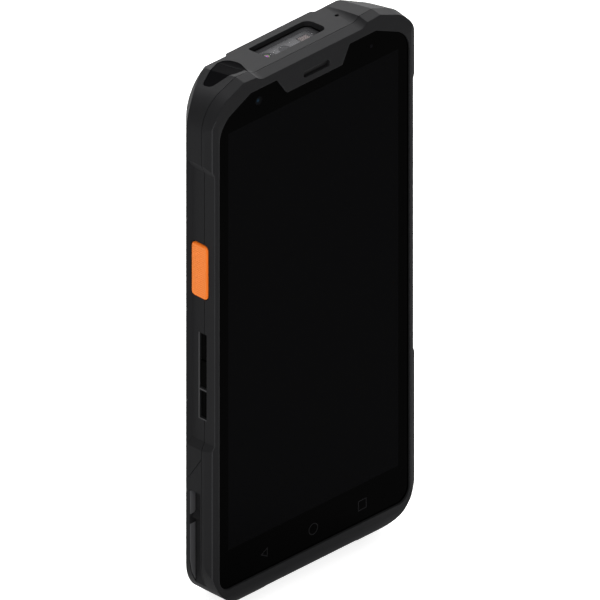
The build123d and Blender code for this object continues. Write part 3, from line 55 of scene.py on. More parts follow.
# Moulded surfaces
CLOUD_SIZE = 18 * MM  # size of the faint clouds in a moulded colour
GRAIN_DEPTH = 0.02 * MM
WANDER = 0.04  # how far a moulded surface's roughness wanders to either side
EDGE_HIGHLIGHT_LIFT = 3.6  # how much lighter the painted highlight on an edge is than the matt face beside it
EDGE_HIGHLIGHT_START = -0.31  # sideways times forward part of the rounded normal where the painted highlight begins
EDGE_HIGHLIGHT_FULL = -0.45  # and where it is full

# Printed and optical details
SMEAR_SIZE = 25 * MM  # size of the faint smears on the cover glass
FILM_SIZE = 12 * MM  # size of the faint patches in the scan window's haze
CAMERA_PAINTED_GLINT = Vector((-0.35, 0, 0.15)) * MM  # painted glint, from the middle of the front camera's window
CAMERA_RINGS = 1.4 * MM  # reach of the painted glint's colours about it
LENS_PAINTED_GLINT = Vector((-0.1, 0.7, 0)) * MM  # painted glint, from the middle of the scan lens
LENS_RINGS = 1.6 * MM  # reach of the painted glint's colours about it
FACING = 0.9  # a face faces along an axis where its normal has at least this much of it
ROUND_SIDES = 48  # sides of a round outline
WINDOW_RISE = 0.01 * MM  # how far a round window stands out of the glass border
# A round window's two insets, as shares of its radius, and how far each moves outwards, in domes.
WINDOW_STEPS = ((0.3, 1.0), (0.35, -0.6))
LENS_SHARE = 0.55  # width of a lamp lens, as a share of the lenses' pitch
LENS_SLOPE = 0.22  # how far its crown slopes in, as a share of its width
LENS_BASE = 0.2 * MM  # height of its square base
LENS_CROWN = 0.12 * MM  # height of the crown on it

# Shell details
TRIM_ANGLES = (10, 25, 40, 55)  # cuts that round a groove strip's lower end, in degrees below level
STRIP_ROUNDING = 0.4  # bevel of a groove strip, as a share of its thickness
SLOT_GAP = 0.2 * MM  # between a side key and the slot round it
BEAD_ROUNDING = 0.35  # bevel of a bead of the slot's rim, as a share of its thickness
RIB_SHARE = 0.7  # share of its pitch that a grip rib takes up
RIB_ROUNDING = 0.9  # bevel of a grip rib, as a share of its height
# Left, right, bottom and top of each foam pad in the seam, in millimetres.
SEAM_PADS = ((12, 20, 1.5, 14.9), (-16, -12, 146.5, 155.1), (-24, -20, 153, 156.1))
PAD_DEPTH = 0.6 * MM
PAD_ROUNDING = 0.1 * MM

# Stage: each softbox's name, place, size and the setting that holds its power.
SOFTBOXES = (
    ("softbox_back_right", (0.65, 0.4, 1.0), (0.9, 0.7), "back_right"),
    ("softbox_back_low", (0.9, 0.9, 0.35), (1.2, 0.4), "back_low"),
    ("softbox_front_left", (-0.5, -0.9, 0.5), (0.6, 0.6), "front_left"),
    ("softbox_left", (-0.35, -0.05, 0.3), (0.25, 0.25), "left_near"),
)
LIGHT_AIM = Vector((0, 0, 80)) * MM
CAMERA_AIM = Vector((-2.444, -5.631, 81.377)) * MM
CAMERA_LOOK = Vector((0.612372, 0.612372, -0.5))  # 30 degrees down, on a front turned by 45
CAMERA_WIDTH = 155.9 * MM


# ---- sizes and colours a user would change -----------------------------------------------------------

def length(name, description, default):
    """A length property, in metres."""
    return FloatProperty(name=name, description=description, default=default, unit="LENGTH", precision=5)


def power(name, description, default):
    """A light's power, in watts."""
    return FloatProperty(name=name, description=description, default=default, unit="POWER")


def strength(name, description, default):
    """A plain strength, where 1 shows as white."""
    return FloatProperty(name=name, description=description, default=default)


def hex_colour(name, description, default):
    """A colour as sRGB hex."""
    return StringProperty(name=name, description=description, default=default)


class ShellSettings(PropertyGroup):
    """Colours of the shell, and the sizes that the strips in its cradle grooves follow"""

    frame_colour: hex_colour("Front frame", "Moulded polycarbonate blend of the front frame", "#222223")
    housing_colour: hex_colour("Rear housing", "Moulded polycarbonate blend of the housing", "#212122")
    grain: length("Grain", "Pitch of the spark-eroded mould grain", 0.35 * MM)
    # This radius rounds the front frame's edges in shading and sets the band of the painted highlight along
    # them.
    edge: length("Edge", "Radius to which handling has rounded the moulded edges", 0.35 * MM)
    # The strips' grey is partly painted light that makes up for the shade in the grooves.
    lit_strip_colour: hex_colour("Groove strips", "Grey acetal strips in the cradle grooves", "#545456")
    groove_wall: length("Groove wall", "From the glass back to the rear wall of a cradle groove", 7.9 * MM)
    groove_floor: length("Groove floor", "Half width over the floors of the cradle grooves", 35.3 * MM)
    groove_top: length("Groove top", "Height of a cradle groove's upper end at its rear wall", 36.2 * MM)
    rib_span: length("Groove rib", "Height that the rib across a groove takes up", 3.0 * MM)
    rib_top: length("Groove rib top", "Height of the rib's upper edge", 29.2 * MM)
    foot_radius: length("Foot radius", "Radius of the lower corners, seen from the front", 15.0 * MM)
    foot_centre: length("Foot centre", "Height of the middle of that radius", 16.2 * MM)
    strip_thickness: length("Strip thickness", "Thickness of a wear strip over the groove's wall", 0.15 * MM)


class KeySettings(PropertyGroup):
    """Colours of the keys, and the sizes that their ribs and the slot's rim follow"""

    scan_colour: hex_colour("Scan keys", "Orange elastomer-coated scan keys", "#ff7a1e")
    slot_colour: hex_colour("Side keys", "Black volume and power keys", "#060606")
    rib_pitch: length("Rib pitch", "Spacing of the fine grip ribs across a scan key", 0.6 * MM)
    rib_height: length("Rib height", "Height of a grip rib", 0.07 * MM)
    # The rim's lighter grey is a painted highlight along the slot's edges.
    rim_highlight_colour: hex_colour("Slot rim", "Rim of the key slot, lighter as a painted highlight", "#4c4c4d")
    rim_bead: length("Rim bead", "Thickness of the bead round the key slot", 0.25 * MM)
    flank: length("Flank", "Half width over the hand recess", 36.5 * MM)
    slot_front_y: length("Slot front", "Front edge of the key slot", -5.35 * MM)
    slot_back_y: length("Slot back", "Rear edge of the key slot", -2.78 * MM)
    face_half_depth: length("Face half depth", "Half the depth of a scan key's flat face", 2.6 * MM)
    face_half_height: length("Face half height", "Half the height of a scan key's flat face", 7.7 * MM)
    face_corner: length("Face corner", "Corner radius of a scan key's flat face", 1.0 * MM)
    face_behind_glass: length("Face place", "From the glass back to the middle of a scan key", 5.05 * MM)


class GlassSettings(PropertyGroup):
    """Colours and sizes of what is printed on the cover glass"""

    border_colour: hex_colour("Border print", "Black print behind the glass border", "#010101")
    active_colour: hex_colour("Active area", "Switched-off display behind the glass", "#070708")
    mark_colour: hex_colour("Marks", "Dark grey print of the three navigation marks", "#171718")
    active_half_width: length("Active half width", "Half the lit area's width", 31.24 * MM)
    active_bottom: length("Active bottom", "Lower edge of the lit area", 19.0 * MM)
    active_top: length("Active top", "Upper edge of the lit area", 143.95 * MM)
    mark_height: length("Mark height", "Height of the navigation marks on the terminal", 12.7 * MM)
    mark_spacing: length("Mark spacing", "From the middle mark to each outer one", 18.0 * MM)
    mark_radius: length("Mark radius", "Outer radius of the circle and the triangle", 1.72 * MM)
    square_radius: length("Square radius", "From the middle of the square mark to its corners", 2.2 * MM)
    triangle_shift: length("Triangle shift", "From the triangle's place to its own middle", 0.35 * MM)
    mark_stroke: length("Mark stroke", "Line width of the marks", 0.3 * MM)
    mark_thickness: length("Mark thickness", "Thickness of the print", 0.02 * MM)
    camera_window_radius: length("Camera window", "Radius of the clear window of the camera", 1.25 * MM)
    sensor_window_radius: length("Sensor window", "Radius of the dot over the light sensor", 0.5 * MM)


class ScannerSettings(PropertyGroup):
    """The lamp's lens array and the scan lens"""

    lamp_rows: IntProperty(name="Lamp rows", description="Rows of the lamp's lens array", default=5, min=2)
    lamp_size: length("Lamp size", "Side of the lens array", 3.3 * MM)
    lens_colour: hex_colour("Lens", "Dark coated scan lens", "#121216")


class StageSettings(PropertyGroup):
    """Floor, background and lights"""

    floor_colour: hex_colour("Floor", "Pale floor", "#cfcfcf")
    floor_size: length("Floor size", "Side of the square floor", 6.0)
    ambient: strength("Ambient", "Strength of the even light from all round", 0.08)
    floor_glow: strength("Floor glow", "Light added to the floor as it is seen", 0.8)
    back_right: power("High back light", "Softbox high above, behind and at the right", 26.0)
    back_low: power("Low back light", "Low, wide softbox behind and at the right", 8.5)
    front_left: power("Front left light", "Softbox in front and at the left", 4.2)
    left_near: power("Left light", "Small softbox close by at the left", 0.5)


# ---- materials ---------------------------------------------------------------------------------------

def colour(code):
    """sRGB hex to the linear colour that Blender's sockets take."""
    parts = [int(code[i:i + 2], 16) / 255 for i in (1, 3, 5)]
    return tuple(c / 12.92 if c <= 0.04045 else ((c + 0.055) / 1.055) ** 2.4 for c in parts) + (1.0,)


def node(tree, kind, links=None, **settings):
    """Adds one shader node. links maps an input's name or number to an output socket; settings that name
    an input set its value, and the others set the node's own properties."""
    made = tree.nodes.new(kind)
    for name, value in settings.items():
        if hasattr(made, name):
            setattr(made, name, value)
        else:
            made.inputs[name.replace("_", " ")].default_value = value
    for name, socket in (links or {}).items():
        tree.links.new(socket, made.inputs[name])
    return made


def new_material(name):
    """An empty node material with its output, its shader and Object coordinates."""
    material = bpy.data.materials.new(name)
    material.use_nodes = True
    tree = material.node_tree
    tree.nodes.clear()
    shader = node(tree, "ShaderNodeBsdfPrincipled")
    node(tree, "ShaderNodeOutputMaterial", {"Surface": shader.outputs["BSDF"]})
    place = node(tree, "ShaderNodeTexCoord")
    return material, tree, shader, place.outputs["Object"]


def vary_roughness(tree, shader, factor, least, most):
    """Lets the roughness wander between two values along a pattern."""
    span = node(tree, "ShaderNodeMapRange", {"Value": factor})
    span.inputs["To Min"].default_value = least
    span.inputs["To Max"].default_value = most
    tree.links.new(span.outputs["Result"], shader.inputs["Roughness"])


def moulded(name, code, shade_code, pitch, roughness, specular, grain=0.12, edge=0.0, metallic=0.0,
            weave=0.0):
    """A moulded or plated surface: two close shades in faint clouds, a grain of the given pitch, and a
    roughness that wanders a little. With an edge radius, the front side edges are rounded in shading and
    given a painted highlight a shade lighter. With a weave, the cells of a wire mesh of that pitch stand up
    instead of the grain."""
    material, tree, shader, place = new_material(name)
    clouds = node(tree, "ShaderNodeTexNoise", {"Vector": place}, Scale=1 / CLOUD_SIZE, Detail=3.0)
    shades = node(tree, "ShaderNodeMix", {0: clouds.outputs["Fac"]}, data_type="RGBA")
    shades.inputs["A"].default_value = colour(code)
    shades.inputs["B"].default_value = colour(shade_code)
    tone = shades.outputs["Result"]
    vary_roughness(tree, shader, clouds.outputs["Fac"], roughness - WANDER, roughness + WANDER)
    if weave:
        cells = node(tree, "ShaderNodeTexVoronoi", {"Vector": place}, Scale=1 / weave)
        bump = node(tree, "ShaderNodeBump", {"Height": cells.outputs["Distance"]}, Strength=0.6,
                    Distance=weave / 3)
    else:
        fine = node(tree, "ShaderNodeTexNoise", {"Vector": place}, Scale=1 / pitch, Detail=2.0)
        bump = node(tree, "ShaderNodeBump", {"Height": fine.outputs["Fac"]}, Strength=grain,
                    Distance=GRAIN_DEPTH)
    if edge:
        rounded = node(tree, "ShaderNodeBevel", samples=4, Radius=edge)
        tree.links.new(rounded.outputs["Normal"], bump.inputs["Normal"])
        # Painted highlight along the rounded front side edges.
        tone = painted_edge_highlight(tree, tone, rounded, code)
    tree.links.new(tone, shader.inputs["Base Color"])
    tree.links.new(bump.outputs["Normal"], shader.inputs["Normal"])
    shader.inputs["Specular IOR Level"].default_value = specular
    shader.inputs["Metallic"].default_value = metallic
    return material


def painted_edge_highlight(tree, tone, rounded, code):
    """Paints a highlight along the front side edges: lifts the colour where the rounded normal points half
    sideways and half forwards, where light catches a rounded edge."""
    axes = node(tree, "ShaderNodeSeparateXYZ", {"Vector": rounded.outputs["Normal"]})
    sideways = node(tree, "ShaderNodeMath", {0: axes.outputs["X"]}, operation="ABSOLUTE")
    both = node(tree, "ShaderNodeMath", {0: sideways.outputs[0], 1: axes.outputs["Y"]}, operation="MULTIPLY")
    highlight_share = node(tree, "ShaderNodeMapRange", {"Value": both.outputs[0]})
    highlight_share.inputs["From Min"].default_value = EDGE_HIGHLIGHT_START
    highlight_share.inputs["From Max"].default_value = EDGE_HIGHLIGHT_FULL
    lifted = node(tree, "ShaderNodeMix", {0: highlight_share.outputs["Result"], "A": tone}, data_type="RGBA")
    lifted.inputs["B"].default_value = tuple(EDGE_HIGHLIGHT_LIFT * part for part in colour(code)[:3]) + (1.0,)
    return lifted.outputs["Result"]


def painted_glint_rings(tree, shader, place, centre, span, inner, outer, between):
    """Paints a glint on a coated lens in rings of colour about a point, from the inner colour there to the
    outer one at the span's distance, with the given colours at shares of the way between."""
    away = node(tree, "ShaderNodeVectorMath", {0: place}, operation="DISTANCE")
    away.inputs[1].default_value = centre
    share = node(tree, "ShaderNodeMath", {0: away.outputs["Value"]}, operation="MULTIPLY")
    share.inputs[1].default_value = 1 / span
    ramp = node(tree, "ShaderNodeValToRGB", {"Fac": share.outputs[0]})
    rings = ramp.color_ramp.elements
    rings[0].color, rings[1].color = colour(inner), colour(outer)
    for at, code in between:
        rings.new(at).color = colour(code)
    tree.links.new(ramp.outputs["Color"], shader.inputs["Base Color"])


def finish_nodes(material, *names):
    """Gives CAD nodes a material in place of the one they were packed with."""
    for name in names:
        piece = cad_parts[name]
        if not piece.material_slots:
            piece.data.materials.append(material)
        for slot in piece.material_slots:
            slot.material = material


# ---- modelling ---------------------------------------------------------------------------------------

def start_piece(adder, **where):
    """Adds a primitive with nothing else selected, and returns its object."""
    if bpy.context.mode != "OBJECT":
        bpy.ops.object.mode_set(mode="OBJECT")
    bpy.ops.object.select_all(action="DESELECT")
    adder(**where)
    return bpy.context.active_object


def choose(piece):
    """Leaves edit mode and makes the piece the only one selected."""
    if bpy.context.mode != "OBJECT":
        bpy.ops.object.mode_set(mode="OBJECT")
    bpy.ops.object.select_all(action="DESELECT")
    piece.select_set(True)
    bpy.context.view_layer.objects.active = piece


def edit_all(piece):
    """Opens edit mode on the whole piece."""
    choose(piece)
    bpy.ops.object.mode_set(mode="EDIT")
    bpy.ops.mesh.select_all(action="SELECT")


def edit_faces(piece, wanted):
    """Opens edit mode on the faces that a test of their normal accepts."""
    choose(piece)
    bpy.ops.object.mode_set(mode="EDIT")
    bpy.ops.mesh.select_mode(type="FACE")
    bpy.ops.mesh.select_all(action="DESELECT")
    bpy.ops.object.mode_set(mode="OBJECT")
    for face in piece.data.polygons:
        face.select = bool(wanted(face.normal))
    bpy.ops.object.mode_set(mode="EDIT")


def settle(piece):
    """Leaves edit mode and applies the object's place to its mesh, so that it sits at the origin."""
    choose(piece)
    bpy.ops.object.transform_apply(location=True, rotation=True, scale=True)


def block(middle, size):
    """A block at its place and size, to be shaped further."""
    made = start_piece(bpy.ops.mesh.primitive_cube_add, size=1.0, location=middle, scale=size)
    settle(made)
    return made


def bevel_edges(piece, offset, segments):
    """Bevels all the piece's edges."""
    edit_all(piece)
    bpy.ops.mesh.bevel(offset=offset, segments=segments)
    bpy.ops.object.mode_set(mode="OBJECT")
    return piece


def join_pieces(pieces, name):
    """Joins several meshes into one named piece."""
    bpy.ops.object.select_all(action="DESELECT")
    for piece in pieces:
        piece.select_set(True)
    bpy.context.view_layer.objects.active = pieces[0]
    bpy.ops.object.join()
    joined = bpy.context.active_object
    joined.name = joined.data.name = name
    return joined


def hand_over(piece, material, body="terminal"):
    """Gives a finished piece its material and the body it rides on."""
    piece.data.materials.clear()
    piece.data.materials.append(material)
    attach(piece, body)


def middle_of(name):
    """The middle of a CAD node's box."""
    low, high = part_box(name)
    return (low + high) / 2


# ---- shell -------------------------------------------------------------------------------------------

class TERMINAL_OT_shell(Operator):
    """Finishes the front frame, with a painted highlight on its edges, the rear housing, bottom cap, battery
    cover and latch, and makes the grey strips in the cradle grooves, whose grey is partly painted light"""

    bl_idname = "terminal.shell"
    bl_label = "Finish Shell"

    def execute(self, context):
        shell = context.scene.terminal_shell
        # PC/ABS blend, injection moulded in a spark-eroded mould: near black, matt, with a faint grain, and a
        # painted highlight along the front side edges.
        frame_plastic = moulded("Moulded PC-ABS, front frame", shell.frame_colour, "#252526", shell.grain,
                                roughness=0.6, specular=0.03, edge=shell.edge)
        finish_nodes(frame_plastic, "front_frame")
        # The same blend in the larger mould of the housing, a touch darker.
        housing_plastic = moulded("Moulded PC-ABS, housing", shell.housing_colour, "#242425", shell.grain,
                                  roughness=0.6, specular=0.03)
        finish_nodes(housing_plastic, "rear_housing", "bottom_cap", "battery_cover")
        # Glass-filled nylon of the latch: darker and a little shinier than the cover round it.
        latch_plastic = moulded("Moulded glass-filled nylon, latch", "#111111", "#161616", shell.grain,
                                roughness=0.55, specular=0.1)
        finish_nodes(latch_plastic, "battery_latch")
        # Moulded acetal: satin, and a mid grey that is partly its own colour and partly painted light,
        # lighter to make up for the shade in the grooves.
        acetal = moulded("Moulded grey acetal, wear strips", shell.lit_strip_colour, "#5a5a5c", shell.grain,
                         roughness=0.5, specular=0.1, grain=0.05)
        hand_over(self.groove_strips(shell), acetal)
        return {"FINISHED"}

    def groove_strips(self, shell):
        """Strips on the rear walls of both cradle grooves, above and below the rib that crosses each."""
        rib_bottom = shell.rib_top - shell.rib_span
        strips = []
        for side in (-1, 1):
            strips.append(self.groove_strip(shell, side, shell.rib_top, shell.groove_top))
            strips.append(self.groove_strip(shell, side, 2 * shell.strip_thickness, rib_bottom))
        return join_pieces(strips, "cradle_wear_strips")

    def groove_strip(self, shell, side, bottom, top):
        """One strip as deep as its groove, half sunk in the wall, and trimmed below to the round of the
        lower corner."""
        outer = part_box("bottom_cap")[1].x
        wall_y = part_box("touch_glass")[0].y + shell.groove_wall
        depth = 2 * shell.strip_thickness
        strip = block((side * (shell.groove_floor + outer) / 2, wall_y, (bottom + top) / 2),
                      (outer - shell.groove_floor - depth, depth, top - bottom))
        corner = Vector((side * (outer - shell.foot_radius), 0, shell.foot_centre))
        reach = shell.foot_radius - depth
        edit_all(strip)
        for degrees in TRIM_ANGLES:
            turn = math.radians(degrees)
            outwards = Vector((side * math.cos(turn), 0, -math.sin(turn)))
            bpy.ops.mesh.select_all(action="SELECT")
            bpy.ops.mesh.bisect(plane_co=corner + reach * outwards, plane_no=outwards, use_fill=True,
                                clear_outer=True)
        return bevel_edges(strip, shell.strip_thickness * STRIP_ROUNDING, 1)


# ---- keys --------------------------------------------------------------------------------------------

class TERMINAL_OT_keys(Operator):
    """Finishes the two orange scan keys and the three black side keys, and makes the scan keys' grip ribs
    and the rim of the side keys' slot"""

    bl_idname = "terminal.keys"
    bl_label = "Finish Keys"

    def execute(self, context):
        keys = context.scene.terminal_keys
        # Polycarbonate key with a soft-touch coat: saturated orange and satin, in two close shades.
        orange = moulded("Soft-touch orange polycarbonate", keys.scan_colour, "#ff8024", 0.3 * MM,
                         roughness=0.5, specular=0.2, grain=0.05)
        finish_nodes(orange, "scan_key_left", "scan_key_right")
        # The same coat on the ribs, painted a touch lighter than the face between them as a highlight on
        # their crests.
        crest_highlight = moulded("Soft-touch orange polycarbonate, ribs", "#ff9645", "#ff923f", 0.3 * MM,
                         roughness=0.5, specular=0.2, grain=0.05)
        for side, key in ((-1, "scan_key_left"), (1, "scan_key_right")):
            hand_over(self.grip_ribs(keys, side, key), crest_highlight, body=key)
        # Acetal keys, deep in their slot: black, with almost no shine.
        black = moulded("Moulded black acetal, side keys", keys.slot_colour, "#080808", 0.3 * MM,
                        roughness=0.5, specular=0.002)
        finish_nodes(black, "volume_up_key", "power_key", "volume_down_key")
        # The slot's raised rim is the shell's plastic in a light satin, coloured a lighter grey as a painted
        # highlight along the slot's edges.
        rim = moulded("Rubbed PC-ABS, key slot rim", keys.rim_highlight_colour, "#505051", 0.3 * MM,
                      roughness=0.45, specular=0.1, grain=0.05)
        hand_over(self.slot_rim(keys), rim)
        return {"FINISHED"}

    def grip_ribs(self, keys, side, key):
        """Fine rounded ribs across a scan key's flat face, shorter where its corners are round."""
        low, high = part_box(key)
        face = side * max(abs(low.x), abs(high.x))
        across, up, corner = keys.face_half_depth, keys.face_half_height, keys.face_corner
        middle_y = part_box("touch_glass")[0].y + keys.face_behind_glass
        middle_z = (low.z + high.z) / 2
        count = int((up - keys.rib_pitch / 2) / keys.rib_pitch)
        ribs = []
        for step in range(-count, count + 1):
            rise = step * keys.rib_pitch
            into_corner = max(0.0, abs(rise) - (up - corner))
            reach = across - corner + math.sqrt(max(0.0, corner ** 2 - into_corner ** 2))
            rib = block((face, middle_y, middle_z + rise),
                        (2 * keys.rib_height, 2 * reach, keys.rib_pitch * RIB_SHARE))
            ribs.append(bevel_edges(rib, keys.rib_height * RIB_ROUNDING, 2))
        return join_pieces(ribs, key + "_ribs")

    def slot_rim(self, keys):
        """Rounded beads along the slot's rear and lower edges, and on the bridge above its lowest key."""
        low_key, middle_key, high_key = map(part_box, ("volume_down_key", "power_key", "volume_up_key"))
        front, back, bead = keys.slot_front_y, keys.slot_back_y, keys.rim_bead
        bottom, top = low_key[0].z - SLOT_GAP, high_key[1].z + SLOT_GAP
        bridge = (low_key[1].z + middle_key[0].z) / 2
        runs = (((back, back + bead), (bottom - bead, top)),
                ((front, back + bead), (bottom - bead, bottom)),
                ((front, back), (bridge - bead / 2, bridge + bead / 2)))
        beads = []
        for (near, far), (low, high) in runs:
            bar = block((-keys.flank, (near + far) / 2, (low + high) / 2), (bead, far - near, high - low))
            beads.append(bevel_edges(bar, bead * BEAD_ROUNDING, 2))
        return join_pieces(beads, "key_slot_rim")


# ---- cover glass -------------------------------------------------------------------------------------

class TERMINAL_OT_glass(Operator):
    """Finishes the cover glass with its black border print and the switched-off display behind it"""

    bl_idname = "terminal.glass"
    bl_label = "Finish Cover Glass"

    def execute(self, context):
        glass = context.scene.terminal_glass
        # Chemically strengthened glass, polished and given an anti-glare coat: it reads as flat black, with
        # the lit area of the display a shade lighter than the printed border round it.
        material, tree, shader, place = new_material("Strengthened cover glass, black print")
        axes = node(tree, "ShaderNodeSeparateXYZ", {"Vector": place})
        reach = node(tree, "ShaderNodeMath", {0: axes.outputs["X"]}, operation="ABSOLUTE").outputs[0]
        area = None
        for value, test, limit in ((reach, "LESS_THAN", glass.active_half_width),
                                   (axes.outputs["Z"], "GREATER_THAN", glass.active_bottom),
                                   (axes.outputs["Z"], "LESS_THAN", glass.active_top)):
            inside = node(tree, "ShaderNodeMath", {0: value}, operation=test)
            inside.inputs[1].default_value = limit
            if area:
                inside = node(tree, "ShaderNodeMath", {0: area, 1: inside.outputs[0]}, operation="MULTIPLY")
            area = inside.outputs[0]
        tone = node(tree, "ShaderNodeMix", {0: area}, data_type="RGBA")
        tone.inputs["A"].default_value = colour(glass.border_colour)
        tone.inputs["B"].default_value = colour(glass.active_colour)
        tree.links.new(tone.outputs["Result"], shader.inputs["Base Color"])
        smears = node(tree, "ShaderNodeTexNoise", {"Vector": place}, Scale=1 / SMEAR_SIZE, Detail=4.0)
        vary_roughness(tree, shader, smears.outputs["Fac"], least=0.05, most=0.09)
        shader.inputs["Specular IOR Level"].default_value = 0.004
        finish_nodes(material, "touch_glass")
        return {"FINISHED"}


class TERMINAL_OT_marks(Operator):
    """Makes the back, home and recent-tasks marks printed on the lower border of the glass"""

    bl_idname = "terminal.marks"
    bl_label = "Make Navigation Marks"

    def outline(self, corners, radius, x, turn, glass):
        """One closed outline on the glass, drawn as a ring of faces of the stroke's width."""
        ring = start_piece(bpy.ops.mesh.primitive_circle_add, vertices=corners, radius=radius,
                           location=(x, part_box("touch_glass")[0].y, glass.mark_height),
                           rotation=(math.pi / 2, turn, 0), fill_type="NGON")
        edit_all(ring)
        bpy.ops.mesh.inset(thickness=glass.mark_stroke)
        bpy.ops.mesh.delete(type="FACE")
        settle(ring)
        return ring

    def execute(self, context):
        glass = context.scene.terminal_glass
        left, right = glass.triangle_shift - glass.mark_spacing, glass.mark_spacing
        back = self.outline(3, glass.mark_radius, left, -math.pi / 2, glass)
        home = self.outline(ROUND_SIDES, glass.mark_radius, 0, 0, glass)
        tasks = self.outline(4, glass.square_radius, right, math.pi / 4, glass)
        marks = join_pieces([back, home, tasks], "navigation_marks")
        edit_all(marks)
        bpy.ops.mesh.normals_make_consistent(inside=False)
        bpy.ops.object.mode_set(mode="OBJECT")
        thicken = marks.modifiers.new("Print thickness", "SOLIDIFY")
        thicken.thickness = glass.mark_thickness
        thicken.offset = 0.0
        bpy.ops.object.modifier_apply(modifier=thicken.name)
        settle(marks)
        # Screen-printed epoxy ink: dark grey, matt, with the slightly uneven lay of a thin print.
        ink = moulded("Screen-printed grey ink", glass.mark_colour, "#1b1b1c", 0.2 * MM,
                      roughness=0.6, specular=0.01)
        hand_over(marks, ink)
        return {"FINISHED"}


class TERMINAL_OT_camera_windows(Operator):
    """Makes the front camera's clear window and the light sensor's dot in the glass border"""

    bl_idname = "terminal.camera_windows"
    bl_label = "Make Front Camera Windows"

    def disc(self, name, radius, over, dome):
        """A round window over a CAD node: its rim is a step, its middle swells by the dome's height and
        sinks back a little."""
        middle = middle_of(over)
        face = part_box("touch_glass")[0].y
        piece = start_piece(bpy.ops.mesh.primitive_cylinder_add, vertices=ROUND_SIDES, radius=radius,
                            depth=2 * WINDOW_RISE, location=(middle.x, face, middle.z),
                            rotation=(math.pi / 2, 0, 0))
        settle(piece)
        edit_faces(piece, lambda normal: normal.y < -FACING)
        for rim_share, domes in WINDOW_STEPS:
            bpy.ops.mesh.inset(thickness=radius * rim_share)
            bpy.ops.transform.translate(value=(0, -domes * dome, 0))
        settle(piece)
        piece.name = piece.data.name = name
        return piece

    def execute(self, context):
        glass = context.scene.terminal_glass
        lens = self.disc("front_camera_window", glass.camera_window_radius, "front_camera", WINDOW_RISE)
        # Clear window in the print over the camera: near black, with a painted glint of a coated lens, cold
        # in colour, up and to one side of its middle.
        coated, tree, shader, place = new_material("Coated camera glass")
        glint = middle_of("front_camera") + CAMERA_PAINTED_GLINT
        glint.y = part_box("touch_glass")[0].y
        painted_glint_rings(tree, shader, place, glint, CAMERA_RINGS, "#22384a", "#0a0a0b", ((0.4, "#101316"),))
        shader.inputs["Roughness"].default_value = 0.12
        shader.inputs["Specular IOR Level"].default_value = 0.003
        hand_over(lens, coated)
        # Tinted dot over the light sensor, barely lighter than the print.
        dot = self.disc("light_sensor_window", glass.sensor_window_radius, "light_sensor", WINDOW_RISE / 2)
        tinted = moulded("Tinted sensor print", "#0d0d0f", "#101013", 0.2 * MM, roughness=0.3, specular=0.003)
        hand_over(dot, tinted)
        return {"FINISHED"}


# ---- scanner -----------------------------------------------------------------------------------------

